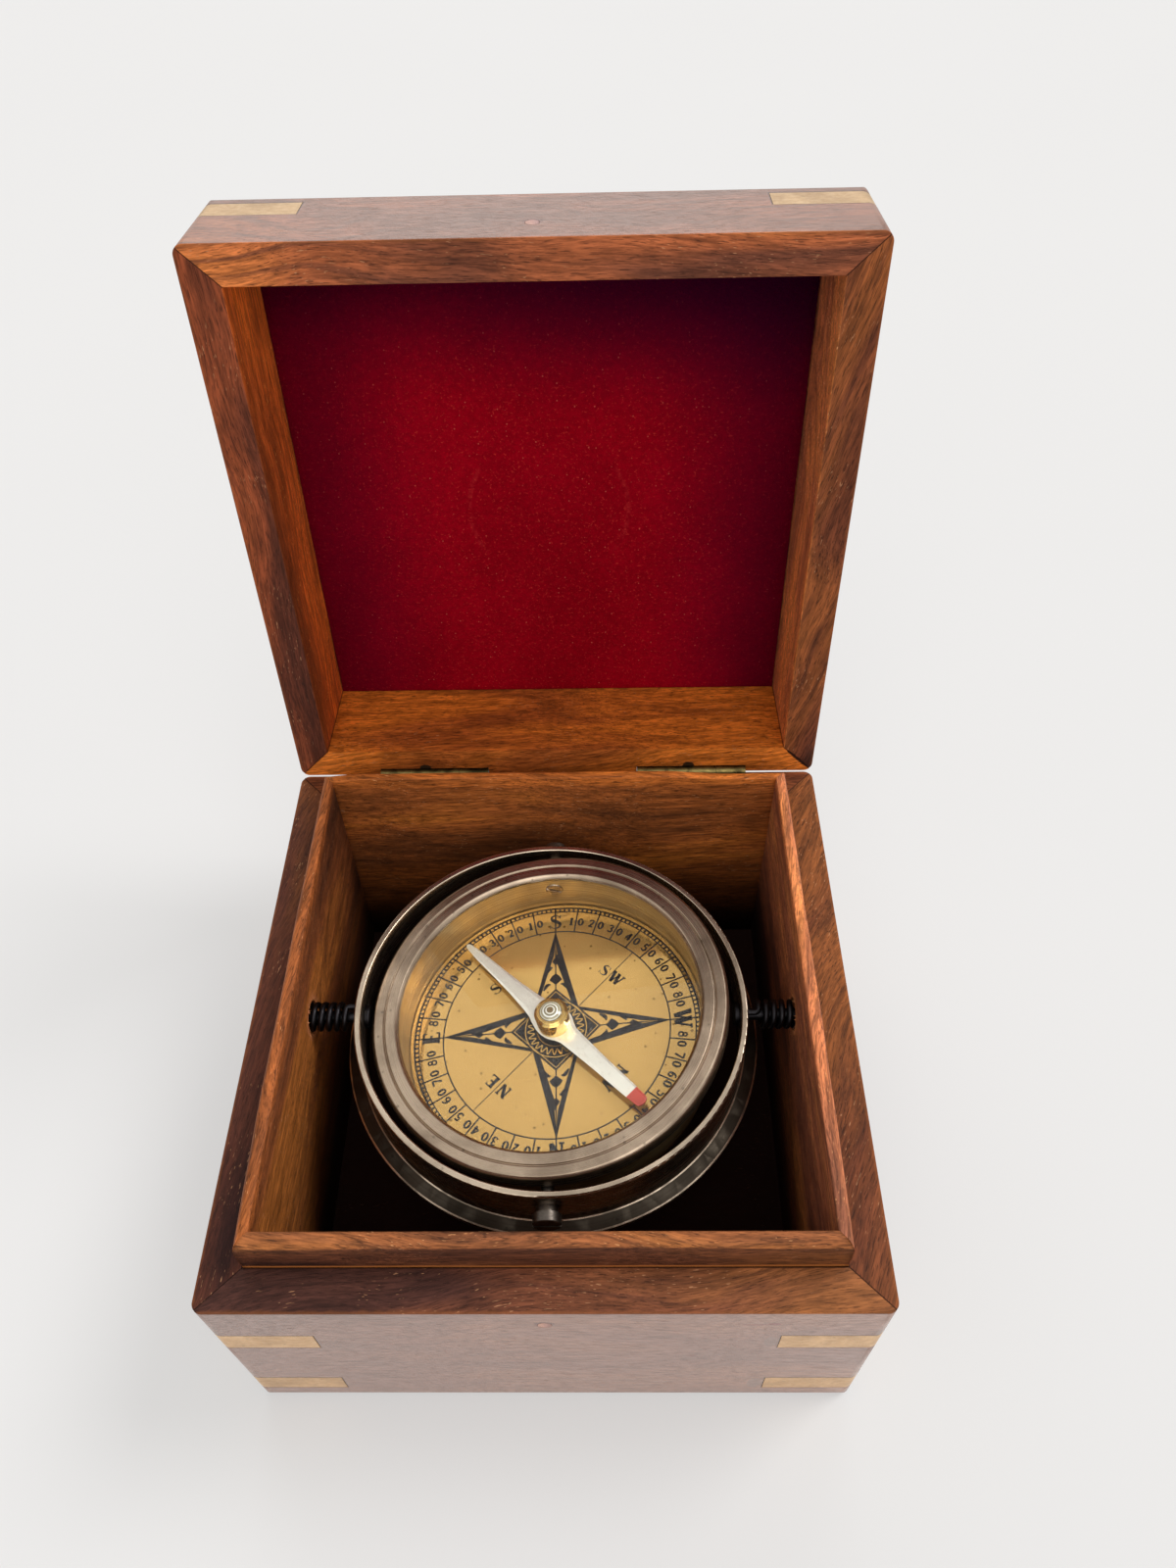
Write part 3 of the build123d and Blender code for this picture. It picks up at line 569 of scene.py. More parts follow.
BOARDS = {
    "base_front_wall": dict(tint=(0.9, 0.98, 1.2), contrast=0.9, ring_depth=0.35, zone_shift=-0.03,
                            coat=1.0, slant=-7, face=((152, 114, 100), 0.62), marks=FRONT_MARKS),
    "base_back_wall": dict(tint=(0.9, 0.85, 0.8)),
    "base_left_wall": dict(tint=(0.5, 0.5, 0.68), contrast=0.8, ring_depth=0.3, slant=12),
    "base_right_wall": dict(tint=(0.72, 0.70, 0.76), contrast=1.0, ring_depth=0.3, slant=24),
    "lid_front_wall": dict(
        tint=(2.2, 2.05, 1.85), ring_depth=0.75, zone_shift=0.02, coat=0.6, inside=(0.7, 0.6, 0.5),
        crown=(0.45, 0.45, 0.5), face=((114, 80, 64), 0.68),
        marks=[((0, -75, 80.6), (2.5, 1, 1.5), 0, 0.25, CRESCENT, 0.6)]),
    "lid_back_wall": dict(
        tint=(2.1, 1.7, 0.85), contrast=1.1, ring_depth=0.2, zone_shift=0.05, slant=8,
        inside=(0.56, 0.47, 0.32), crown=(0.42, 0.45, 0.8), face=((94, 50, 32), 0.6), marks=[*SHADED_NOTCHES, LID_CRACK]),
    "lid_left_wall": dict(tint=(1.3, 1.0, 0.88), ring_depth=0.45, inside=(4.3, 3.9, 1.6),
                          crown=(0.6, 0.7, 0.75)),
    "lid_right_wall": dict(tint=(0.82, 0.74, 0.78), ring_depth=0.4, slant=-14,
                           inside=(5.3, 6.0, 5.6), marks=[LID_CRACK]),
    "lid_board": {},
}
for number, (name, looks) in enumerate(BOARDS.items()):
    where = name.split("_")[0]
    straps = {"base": BASE_STRAPS, "lid": LID_STRAPS}[where] if name.endswith("wall") else ()
    material = wood("rosewood " + name, where, grain_of(name), number * 1.7, straps=straps, **looks)
    ease_edges(dress(name, material), BOARD_EASE)
dress("base_bottom", wood("rosewood bottom", "base", "across", 20.0, (0.12, 0.10, 0.10), shine=0.8))
print("boards dressed:", len(BOARDS) + 1)

# %% [markdown]
# ## The lining
# Four thin boards line the box and stand proud of its rim, where they locate the lid. Their top outer edges are
# rounded by hand, more in some places than in others, so each is worked out as a section carried along the
# board: two faces joined over the top by a quarter of an ellipse whose size wanders. The side boards are bored
# for the springs.


# %% Helpers for meshes
def mesh_of(name, points, faces):
    """A mesh from an array of points, in metres, and faces that name their corners by number."""
    mesh = bpy.data.meshes.new(name)
    mesh.from_pydata(np.asarray(points, float).reshape(-1, 3).tolist(), [], [list(map(int, f)) for f in faces])
    return mesh


def new_piece(name, points, faces, material, body, slot, smooth=True):
    """A piece of its own, with its finish and its body; its slot is not used."""
    mesh = mesh_of(name, points, faces)
    mesh.polygons.foreach_set("use_smooth", np.full(len(mesh.polygons), smooth))
    mesh.materials.append(material)
    mesh.update()
    piece = into_scene(name, mesh)
    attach(piece, body)
    return piece


def whole_turn(count):
    """Angles evenly spaced all round."""
    return np.linspace(0, 2 * pi, count, endpoint=False)


def grid_faces(rows, columns, close_rows=False, close_columns=False):
    """Four-sided faces over a grid of points, closed round in either direction where asked."""
    r = np.arange(rows if close_rows else rows - 1)[:, None]
    c = np.arange(columns if close_columns else columns - 1)[None, :]
    r2, c2 = (r + 1) % rows, (c + 1) % columns
    corners = [r * columns + c, r * columns + c2, r2 * columns + c2, r2 * columns + c]
    return np.stack([np.broadcast_to(k, (len(r), c.shape[1])) for k in corners], -1).reshape(-1, 4)


def tube_faces(rows, columns):
    """Faces of a closed section carried along a path, with both ends shut."""
    ends = [list(range(columns))[::-1], list(range((rows - 1) * columns, rows * columns))]
    return grid_faces(rows, columns, close_columns=True).tolist() + ends


def face_outwards(piece):
    """Turn all faces of a closed piece outwards."""
    work = bmesh.new()
    work.from_mesh(piece.data)
    bmesh.ops.recalc_face_normals(work, faces=work.faces)
    work.to_mesh(piece.data)
    work.free()


def wander_along(u, seed, strength):
    """A gentle, repeatable wander: four sines of unlike length added up."""
    turns = np.random.default_rng(seed).uniform(0, 2 * pi, 4)
    waves = [np.sin(u * k + t) / (1 + i) for i, (k, t) in enumerate(zip((2.1, 4.3, 8.9, 17.0), turns))]
    return strength * sum(waves) / 2


print("a grid of 3 x 4 points has", len(grid_faces(3, 4)), "faces")

# %% One lining board's surface
LINING_OUTER, LINING_INNER, LINING_LOW, LINING_TOP = 65.5, 62.0, 6.0, 82.5
EASE, INNER_ROUND, LEFT_TALLER = 0.12, 0.5, 1.25
SIDES = {"front": ((1, 0), (0, -1)), "right": ((0, 1), (1, 0)), "back": ((-1, 0), (0, 1)), "left": ((0, -1), (-1, 0))}


def lining_points(side, seed, stations=90):
    """Points of one board: at each station a closed section, from the outer foot over the rounded top and down.

    The distance from the middle sets the length too, because the ends are mitred.
    """
    u = np.linspace(-1, 1, stations)[:, None]
    wide = 1.7 + wander_along(u, seed, 0.5) + 0.5 * np.abs(u) ** 6
    tall = 2.6 + wander_along(u, seed + 1, 1.3) + 1.6 * np.abs(u) ** 3
    top = LINING_TOP - 0.25 + wander_along(u, seed + 2, 0.2)
    if side == "back":
        # This board was left taller, and planed down at its right end only.
        top = top + LEFT_TALLER * np.interp(u, [-1, -0.74, -0.5, 0.86, 0.97, 1], [0, 0, 1, 1, 0.32, 0])
    swing, inner_swing = np.linspace(0, pi / 2, 9)[None, :], np.linspace(0, pi / 2, 5)[None, :]
    outer = LINING_OUTER - EASE + wander_along(u, seed + 3, 0.1)
    over = outer - wide * (1 - np.cos(swing))
    rise = top - tall * (1 - np.sin(swing))
    inner_over = LINING_INNER + INNER_ROUND * (1 - np.sin(inner_swing)) + 0 * u
    inner_rise = top - INNER_ROUND * (1 - np.cos(inner_swing))
    lows = np.linspace(0.15, 1, 4)[None, :]
    up = LINING_LOW + (rise[:, :1] - LINING_LOW) * lows[:, :-1]
    down = LINING_LOW + (inner_rise[:, -1:] - LINING_LOW) * lows[:, ::-1][:, 1:]
    foot = LINING_LOW + 0 * u
    across = np.hstack([LINING_OUTER - EASE + 0 * u, outer + 0 * up, over, inner_over, LINING_INNER + 0 * down,
                        LINING_INNER + 0 * u])
    height = np.hstack([foot, up, rise, inner_rise, down, foot])
    along, out = (np.array(v, float) for v in SIDES[side])
    flat = (u * across)[..., None] * along + across[..., None] * out
    return np.concatenate([flat, height[..., None]], -1) * MM


print("points of a lining board", lining_points("front", 5).shape)

# %% Lining boards with hand-rounded tops
BORE_RADIUS, BORE_HEIGHT = 4.3, 61.6
LINING_TINTS = {"front": (1.12, 1.28, 1.28), "right": (2.0, 2.2, 2.6), "back": (1.75, 1.65, 0.95),
                "left": (1.25, 1.25, 1.0)}
TORN_STAIN = (190, 118, 72)


def bored(piece, sign, steps=40):
    """The board with a round hole for the spring, cut by a drum that is taken away again."""
    turn = whole_turn(steps)
    across, up = BORE_RADIUS * np.cos(turn), BORE_HEIGHT + BORE_RADIUS * np.sin(turn)
    ends = [np.stack([np.full(steps, sign * x), across, up], 1) for x in (LINING_INNER - 3, LINING_OUTER + 3)]
    cutter = into_scene("drum", mesh_of("drum", np.concatenate(ends) * MM, tube_faces(2, steps)))
    face_outwards(cutter)
    cut = piece.modifiers.new("bore", "BOOLEAN")
    cut.operation, cut.solver, cut.object = "DIFFERENCE", "EXACT", cutter
    seen = piece.evaluated_get(bpy.context.evaluated_depsgraph_get())
    piece.data = bpy.data.meshes.new_from_object(seen)
    piece.data.set_sharp_from_angle(angle=radians(35))
    piece.modifiers.clear()
    bpy.data.objects.remove(cutter)


for number, (side, (_, out)) in enumerate(SIDES.items()):
    on_x = out[0] != 0
    torn = [((out[0] * LINING_INNER, 0, BORE_HEIGHT), (3, 6.6, 6.9), 0, 0.5, TORN_STAIN, 0.8)]
    material = wood("lining " + side, "base", grain_of(side), 30.0 + number, LINING_TINTS[side],
                    1.1, 0.35, 0.02, 6, lining=True, marks=torn if on_x else ())
    points = lining_points(side, 5 + 7 * number)
    board = new_piece("lining_board_" + side, points, tube_faces(*points.shape[:2]), material, "case", "lining_wood")
    face_outwards(board)
    if on_x:
        bored(board, out[0])
    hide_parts("lining_" + side)
print("lining boards", len(SIDES))

# %% [markdown]
# ### Torn fibres at the bores
# The bores for the springs were drilled without a backing, so pale fibres stand up round their edges. Each is a
# thin sliver of four points: three at its root on the board and one at its tip.


# %% Slivers round each bore
def torn_fibres(sign, seed, count=34):
    """Slivers round one bore: the root on a ring a little wider than the bore, the tip pushed out and away."""
    draw = np.random.default_rng(seed)
    turn = draw.uniform(0, 2 * pi, count)
    ring = BORE_RADIUS + draw.uniform(0.15, 0.8, count)
    out = np.stack([0 * turn, np.cos(turn), np.sin(turn)], 1)
    round_about = np.stack([0 * turn, -np.sin(turn), np.cos(turn)], 1)
    inwards = np.tile([-sign, 0.0, 0.0], (count, 1))
    root = np.array([sign * LINING_INNER, 0, BORE_HEIGHT]) + out * ring[:, None] - inwards * 0.1
    half = draw.uniform(0.10, 0.22, count)[:, None]
    tip = root + inwards * draw.uniform(0.3, 0.9, count)[:, None] + out * draw.uniform(0.0, 0.8, count)[:, None]
    tip += round_about * draw.normal(0, 0.9, count)[:, None]
    points = np.stack([root - round_about * half, root + round_about * half, root + out * half * 0.7, tip], 1)
    corners = np.array([(0, 2, 1), (0, 1, 3), (1, 2, 3), (2, 0, 3)])
    return points * MM, (np.arange(count)[:, None, None] * 4 + corners).reshape(-1, 3)


TORN = new_material("torn fibres")
fresh = speckle(place_in("base"), 700.0, 2.0)
finish(mix(span(fresh, 0.35, 0.65), shade(226, 160, 108), shade(178, 104, 62)), 0.7)
for seed, side, sign in ((3, "left", -1), (4, "right", 1)):
    fibres = new_piece("torn_fibres_" + side, *torn_fibres(sign, seed), TORN, "case", "lining_wood", False)
    face_outwards(fibres)
print("torn fibres at two bores")

# %% [markdown]
# ## Metal finishes
# The ring and bezel are darkened nickel plate over brass, the bowl's inside is bare turned brass, the straps
# and hinges are dull brass, and springs and long screws are blackened steel. They are all metal with one
# pattern of turning or brushing and one of tarnish, in different amounts.

# %% The ring's flange: darker, with painted shade and painted highlights
SPECK, FLANGE_LEVEL, FLANGE_TONE_AND_SHADE, FLANGE_DULL = shade(30, 22, 14), -0.0040, shade(88, 88, 88), 0.16
FLANGE_HIGHLIGHT_RIMS = ((0.05325, 0.00028), (0.05000, 0.00022))


def dull_flange(place, colour, bright):
    """Below its rim the ring is darker and duller, partly its plate and partly painted shade; two rims get painted
    highlights.
    """
    x, y, z = axes(place)
    # Partly a duller plate, partly painted shade: everything below the flange level is darker.
    low = fall(z, FLANGE_LEVEL - 0.0004, FLANGE_LEVEL + 0.0004)
    colour = mix(low, colour, tinted(colour, FLANGE_TONE_AND_SHADE))
    dull = times(low, FLANGE_DULL)
    reach = length(point(x, y))
    highlight_breaks = span(speckle(place, 130.0, 4.0, 0.6), 0.38, 0.55, 0.35, 1.0)
    # Painted highlights along the flange's two rims, broken in places.
    for rim, half in FLANGE_HIGHLIGHT_RIMS:
        rim_highlight = times(times(fall(off(reach, rim), half * 0.5, half), low), highlight_breaks)
        colour = mix(rim_highlight, colour, bright)
        dull = times(dull, minus(1.0, rim_highlight))
    return colour, dull


print("flange below", FLANGE_LEVEL)


# %% One metal, many finishes
def metal(name, where, bright, dark, rough, fineness=2500.0, tarnish=0.5, scale=60.0, lines=0.3, specks=0.0,
          metallic=1.0, flange=False):
    """Metal with turning marks and tarnish: blotches mix dark into bright, and lines vary the roughness."""
    made = new_material(name)
    place = place_in(where)
    marks = use(TURNED, Place=place, Fineness=fineness)["Lines"]
    stain = use(TARNISH, Place=place, Scale=scale)
    bright, dull = shade(*bright), 0.0
    colour = mix(times(stain["Blotches"], tarnish), bright, shade(*dark))
    colour = mix(span(marks, 0.35, 0.65, 0.0, lines), colour, shade(*dark))
    colour = mix(times(stain["Specks"], specks), colour, SPECK)
    # The flange gets its painted shade and painted highlights here.
    if flange:
        colour, dull = dull_flange(place, colour, bright)
    roughness = plus(span(marks, 0.25, 0.75, rough - 0.06, rough + 0.10), dull)
    finish(colour, roughness, marks, 0.15, 0.00006, Metallic=metallic)
    return made


BEZEL_NICKEL = metal("bezel nickel", "bowl", (182, 162, 140), (104, 88, 74), 0.28, 2600.0, 0.6, 80.0, 0.25, 0.4)
BOWL_BRASS = metal("turned brass", "bowl", (200, 174, 126), (122, 94, 58), 0.30, 1500.0, 0.45, 50.0, 0.75,
                   metallic=0.7)
HINGE_BRASS = metal("hinge brass", "base", (132, 116, 70), (44, 40, 24), 0.36, 900.0, 0.95, 240.0, 0.3)
BLACK_STEEL = metal("blackened steel", "base", (46, 44, 46), (20, 20, 22), 0.40, 2000.0, 0.5, 200.0, 0.2)
SCREW_NICKEL = metal("screw nickel", "ring", (104, 96, 88), (56, 50, 46), 0.36, 3000.0, 0.6, 300.0, 0.3)
HUB_BRASS = metal("hub brass", "bowl", (240, 202, 124), (134, 98, 48), 0.13, 3000.0, 0.3, 300.0, 0.3)
METAL_NODES = [
    (metal("antique nickel", "ring", (202, 184, 162), (110, 96, 82), 0.24, 2200.0, 0.6, 70.0, 0.25, 0.3,
           flange=True), "gimbal_ring"),
    (metal("strap brass", "base", (240, 200, 152), (160, 122, 82), 0.38, 900.0, 0.45, 120.0, 0.2, 0.2),
     "base_corner_straps"),
    (metal("lid strap brass", "lid", (186, 156, 118), (130, 100, 66), 0.5, 900.0, 0.5, 120.0, 0.2, 0.2,
           metallic=0.6), "lid_corner_straps"),
    (metal("pin steel", "bowl", (190, 190, 190), (120, 120, 120), 0.25, 3000.0, 0.3, 300.0, 0.3), "needle_pivot"),
    (metal("lead", "bowl", (96, 98, 102), (58, 60, 64), 0.55, 1200.0, 0.7, 120.0, 0.3), "bowl_weight"),
    (BEZEL_NICKEL, "bezel"), (BOWL_BRASS, "compass_bowl dial_seat_ring"),
    (HINGE_BRASS, "hinge_left_base_leaf hinge_right_base_leaf hinge_left_lid_leaf hinge_right_lid_leaf "
                  "hinge_base_screws hinge_lid_screws hinge_left_pin hinge_right_pin"),
    (BLACK_STEEL, "ring_pivot_screw_left ring_pivot_screw_right pivot_spring_left pivot_spring_right"),
    (SCREW_NICKEL, "bowl_pivot_screw_front bowl_pivot_screw_back"), (HUB_BRASS, "needle_hub bowl_weight_screw"),
]
for material, names in METAL_NODES:
    for name in names.split():
        dress(name, material)
for name in ("gimbal_ring", "bezel"):
    ease_edges(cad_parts[name], 0.0002)
print("metal on", sum(len(names.split()) for _, names in METAL_NODES), "nodes")

# %% [markdown]
# ### Ends of the bowl's pivot screws
# Inside the bowl, at its front and back, the end of each pivot screw shows as a small slotted disc. Each is a
# round surface over angle and radius: flat on top, rounded at its rim, and lower where the slot crosses it.

# %% Slotted ends inside the bowl
BOWL_BORE, SLOT_LEAN, SLOT_FLOOR = 39.32, 0.5, 0.1
DISC_RADII = np.array([0.02, 0.2, 0.4, 0.6, 0.78, 0.88, 0.95, 0.99, 1.0])


def slotted_end(way, radius=2.45, thick=0.45, slot=0.32, steps=72):
    """Points of one disc: its face looks to the bowl's middle, and its slot leans a little."""
    turn = whole_turn(steps)[None, :]
    reach = radius * DISC_RADII[:, None]
    rise = thick * np.sqrt(np.clip(1 - np.clip((reach / radius - 0.8) / 0.2, 0, 1) ** 2, 0, 1)) + 0 * turn
    across, up = reach * np.cos(turn), reach * np.sin(turn)
    in_slot = np.abs(across * np.sin(SLOT_LEAN) + up * np.cos(SLOT_LEAN)) < slot
    rise = np.where(in_slot, np.minimum(rise, SLOT_FLOOR), rise)
    return on_bowl(across * MM, way * (BOWL_BORE - rise) * MM, up * MM)


for way, name in ((1, "back"), (-1, "front")):
    points = slotted_end(way)
    new_piece("bowl_screw_end_" + name, points, grid_faces(*points.shape[:2], close_columns=True), BEZEL_NICKEL,
              "bowl", "antique_nickel", False)
print("slotted ends", points.shape)

# %% [markdown]
# ## The plugs
# A tiny round plug of paler wood, with filler round it, sits in the middle of each front face.

# %% Plug wood
for name, where in (("base_front_plug", "base"), ("lid_front_plug", "lid")):
    dress(name, wood("plug " + name, where, "upright", 50.0, (4.4, 8.5, 15.0), 0.2, 0.1))
print("plugs dressed")

# %% [markdown]
# ## Glass
# The compass's glass is a plain disc, and the hub has a small clear dome. Light passes straight through them
# for shadows, so that what lies below is lit: the material is the Principled glass, swapped for a transparent
# shader on shadow rays.


# %% Clear glass
def clear_glass(name, tint, rough, dust, bend, clearness=1.0, steps=()):
    """Glass that lets shadow rays through, with a breath of dust in its roughness and painted rings of reflection in
    it.
    """
    made = new_material(name)
    haze = speckle(place_in("bowl"), 160.0, 4.0, 0.6)
    flat = node("VectorMath", {0: place_in("bowl"), 1: (1, 1, 0)}, operation="MULTIPLY").outputs[0]
    # Painted reflections: pale and dark rings by radius.
    for beyond, tone in steps:
        tint = mix(span(length(flat), beyond - 0.0001, beyond + 0.0001), tint, shade(*tone))
    shader = node("BsdfPrincipled", {"Base Color": tint, "IOR": bend, "Transmission Weight": clearness,
                                     "Roughness": span(haze, 0.4, 0.8, rough, rough + dust)})
    surface_of(node("LightPath").outputs["Is Shadow Ray"], shader, node("BsdfTransparent"))
    return made


dress("glass", clear_glass("compass glass", (0.985, 0.99, 0.985, 1), 0.0, 0.01, 1.22))
# Painted reflections: the dome's pale rings are painted highlights, the dark ones painted shade.
CAP_PAINTED_RINGS = [(0.0009, (226, 222, 208)), (0.0012, (128, 118, 92)), (0.0017, (238, 238, 230)),
             (0.0020, (150, 140, 112)), (0.0025, (206, 200, 180)), (0.0027, (84, 74, 52))]
dress("needle_cap", clear_glass("clear dome", shade(112, 92, 62), 0.04, 0.04, 1.5, 0.25, CAP_PAINTED_RINGS))
print("glass and dome, with", len(CAP_PAINTED_RINGS), "rings of tone in the dome")

# %% [markdown]
# ## The dial
# The dial is a brass plate with a black print. Under the glass it keeps a satin shine, so that it mirrors the
# lid softly. The plate is a little dished, which tips its mirror image forward.

# %% Dial plate
DISH = radians(-4.2)
DIAL_BRASS = new_material("dial brass")
place = place_in("bowl")
stain = use(TARNISH, Place=place, Scale=55.0)
brushed = strands(place, (180, 2600, 10), 3.0, 0.6)
colour = mix(times(stain["Blotches"], 0.22), shade(202, 163, 98), shade(180, 142, 81))
colour = mix(times(stain["Specks"], 0.65), colour, shade(96, 66, 30))
shader = finish(colour, span(brushed, 0.3, 0.7, 0.05, 0.08), brushed, 0.03, 0.00005, Metallic=0.68,
                Specular_IOR_Level=0.2)
straight = node("TexCoord").outputs["Normal"]
tipped = node("VectorRotate", {"Vector": straight, "Axis": (1, 0, 0), "Angle": -DISH}).outputs[0]
turned = node("VectorTransform", {0: tipped}, vector_type="NORMAL", convert_from="OBJECT", convert_to="WORLD")
feed(shader.inputs["Normal"].links[0].from_node.inputs, {"Normal": turned.outputs[0]})
dress("dial", DIAL_BRASS)

# %% [markdown]
# ### Print as ribbons
# The print is real geometry, a hair above the plate: ribbons of a given width along a path, which make rings,
# ticks, letters and the star. One class gathers them all into a single mesh.

# %% Flat inked shapes
PRINT_TURN = radians(1.2)


def oval(wide, tall, turn, middle=(0, 0)):
    """Points round an upright oval, at the given turns."""
    return np.stack([middle[0] + wide * np.cos(turn), middle[1] + tall * np.sin(turn)], 1)


class Print:
    """Flat inked shapes on the dial: each ribbon adds its points and faces to one mesh."""

    def __init__(self, level):
        self.level, self.points, self.faces, self.count = level, [], [], 0

    def add(self, points, faces):
        self.points.append(np.asarray(points, float))
        self.faces.append(np.asarray(faces) + self.count)
        self.count += len(points)

    def ribbon(self, path, width, closed=False):
        """A strip along a path: each point moved half the width to both sides along the path's normal."""
        path = np.asarray(path, float)
        width = np.broadcast_to(np.asarray(width, float), len(path))
        along = np.roll(path, -1, 0) - np.roll(path, 1, 0) if closed else np.gradient(path, axis=0)
        along /= np.linalg.norm(along, axis=1, keepdims=True)
        side = np.stack([-along[:, 1], along[:, 0]], 1) * width[:, None] / 2
        rows = np.stack([path - side, path + side], 1).reshape(-1, 2)
        self.add(rows, grid_faces(len(path), 2, close_rows=closed))

    def ring(self, radius, width, points=180):
        """A closed ribbon round the middle."""
        self.ribbon(oval(radius, radius, whole_turn(points)), width, True)

    def shape(self, outline):
        """A filled convex outline, counted anticlockwise."""
        self.add(outline, [range(len(outline))])

    def mesh(self, name, material):
        """The finished print, turned with the dial and laid on the bowl."""
        flat = np.concatenate(self.points) * MM
        turned = flat @ np.array([[cos(PRINT_TURN), sin(PRINT_TURN)], [-sin(PRINT_TURN), cos(PRINT_TURN)]])
        faces = [face for group in self.faces for face in group]
        new_piece(name, on_bowl(*turned.T, self.level), faces, material, "bowl", "dial_brass", False)


print("print turned by", round(PRINT_TURN, 3))

# %% [markdown]
# ### Letters and digits
# The cardinal letters are pen letters with thick and thin strokes. Each is a few strokes in a box one unit high,
# drawn on the dial with their tops outwards, so the letters stand round the rim like the hours of a clock. A
# stroke is a path and its width, or a width for each of its points.

# %% Pen letters
THIN, THICK, SERIF = 0.13, 0.28, 0.12
S_PATH = [(0.715, 0.74), (0.70, 0.84), (0.62, 0.93), (0.48, 0.975), (0.33, 0.96), (0.20, 0.88), (0.16, 0.77),
          (0.22, 0.65), (0.38, 0.56), (0.55, 0.48), (0.68, 0.38), (0.72, 0.25), (0.66, 0.12), (0.52, 0.04),
          (0.37, 0.02), (0.22, 0.07), (0.13, 0.17), (0.11, 0.27)]
S_WIDTH = [0.03, 0.04, 0.05, 0.06, 0.09, 0.14, 0.17, 0.21, 0.24, 0.24, 0.21, 0.17, 0.13, 0.09, 0.06, 0.05, 0.04, 0.03]


def bar(left, right, height, width=SERIF):
    """A level stroke."""
    return [(left, height), (right, height)], width


def stem(across, width, low=0.0, high=1.0):
    """An upright stroke."""
    return [(across, low), (across, high)], width


STROKES = {
    "E": (0.80, [stem(0.24, THICK), bar(0.06, 0.74, 0.975), bar(0.06, 0.78, 0.025), bar(0.30, 0.58, 0.51),
                 stem(0.72, [0.10, 0.03], 0.99, 0.76), stem(0.76, [0.12, 0.03], 0.01, 0.27),
                 stem(0.57, 0.05, 0.62, 0.40)]),
    "N": (0.96, [stem(0.17, THIN), stem(0.80, THIN), ([(0.17, 0.98), (0.80, 0.02)], THICK),
                 bar(0.02, 0.33, 0.02), bar(0.64, 0.95, 0.98), bar(0.02, 0.26, 0.98)]),
    "W": (1.30, [([(0.16, 1.0), (0.42, 0.0)], THICK), ([(0.42, 0.0), (0.68, 0.98)], THIN),
                 ([(0.62, 1.0), (0.88, 0.0)], THICK), ([(0.88, 0.0), (1.14, 0.98)], THIN),
                 bar(0.0, 0.34, 0.98), bar(0.48, 0.80, 0.98), bar(1.0, 1.28, 0.98)]),
    "S": (0.84, [(S_PATH, S_WIDTH), stem(0.73, [0.07, 0.03], 0.99, 0.72), stem(0.10, [0.07, 0.03], 0.0, 0.29)]),
}
print("letters", *STROKES)

# %% Pen digits
SEVEN = [(0.0, 0.98), (0.62, 0.98), (0.30, 0.0)]
round_turn = np.linspace(0, 2 * pi, 15)
DIGITS = {
    "0": [(oval(0.25, 0.43, round_turn, (0.32, 0.5)), 0.10 + 0.10 * np.cos(round_turn) ** 2)],
    "1": [stem(0.34, 0.19), ([(0.14, 0.80), (0.34, 0.95)], 0.09), bar(0.14, 0.54, 0.03, 0.07)],
    "2": [([(0.08, 0.74), (0.14, 0.90), (0.30, 0.96), (0.47, 0.90), (0.53, 0.74), (0.44, 0.52), (0.08, 0.06)],
           [0.16, 0.12, 0.09, 0.14, 0.18, 0.16, 0.08]), bar(0.06, 0.56, 0.08, [0.14, 0.16])],
    "3": [([(0.08, 0.80), (0.20, 0.94), (0.40, 0.94), (0.50, 0.76), (0.40, 0.58), (0.22, 0.53)],
           [0.12, 0.08, 0.13, 0.18, 0.12, 0.07]),
          ([(0.22, 0.53), (0.44, 0.48), (0.55, 0.28), (0.42, 0.07), (0.20, 0.05), (0.05, 0.20)],
           [0.07, 0.13, 0.19, 0.13, 0.08, 0.13])],
    "4": [stem(0.42, 0.19), ([(0.42, 0.96), (0.02, 0.30)], 0.07), bar(0.0, 0.62, 0.28, 0.09)],
    "5": [bar(0.14, 0.52, 0.95, 0.13), ([(0.14, 0.98), (0.11, 0.54)], 0.07),
          ([(0.11, 0.56), (0.34, 0.62), (0.52, 0.48), (0.53, 0.26), (0.40, 0.07), (0.20, 0.04), (0.05, 0.16)],
           [0.07, 0.10, 0.16, 0.19, 0.13, 0.08, 0.13])],
    "6": [([(0.50, 0.90), (0.32, 0.94), (0.14, 0.74), (0.09, 0.42), (0.15, 0.14), (0.33, 0.05), (0.50, 0.16),
            (0.54, 0.34), (0.46, 0.50), (0.30, 0.54), (0.14, 0.42)],
           [0.12, 0.09, 0.15, 0.19, 0.15, 0.08, 0.13, 0.18, 0.13, 0.07, 0.07])],
    "7": [(SEVEN[:2], 0.13), (SEVEN[1:], [0.08, 0.18])],
    "8": [(oval(0.20, 0.20, round_turn, (0.31, 0.74)), 0.10), (oval(0.25, 0.25, round_turn, (0.31, 0.28)), 0.12)],
}
DIGIT_MIDDLE, DIGIT_WEIGHT, DIGIT_INK = 0.31, 0.8, 0.10
print("digits", *DIGITS)


# %% Writing on the dial
def outwards(bearing):
    """Direction on the dial at a bearing, anticlockwise from its right."""
    return np.array([cos(bearing), sin(bearing)])


def glyph(ink, strokes, middle, height, radius, bearing, shift=0.0, weight=1.0, spread=0.0):
    """Strokes at a radius and a bearing, their tops outwards: scaled to a height, shifted along the rim."""
    out = outwards(bearing)
    right = np.array([out[1], -out[0]])
    for path, thickness in strokes:
        path = np.array(path, float)
        steps = (np.asarray(thickness, float) * weight + spread) * height
        flat, up = (path[:, :1] - middle) * height + shift, (path[:, 1:] - 0.5) * height + radius
        ink.ribbon(flat * right + up * out, steps)


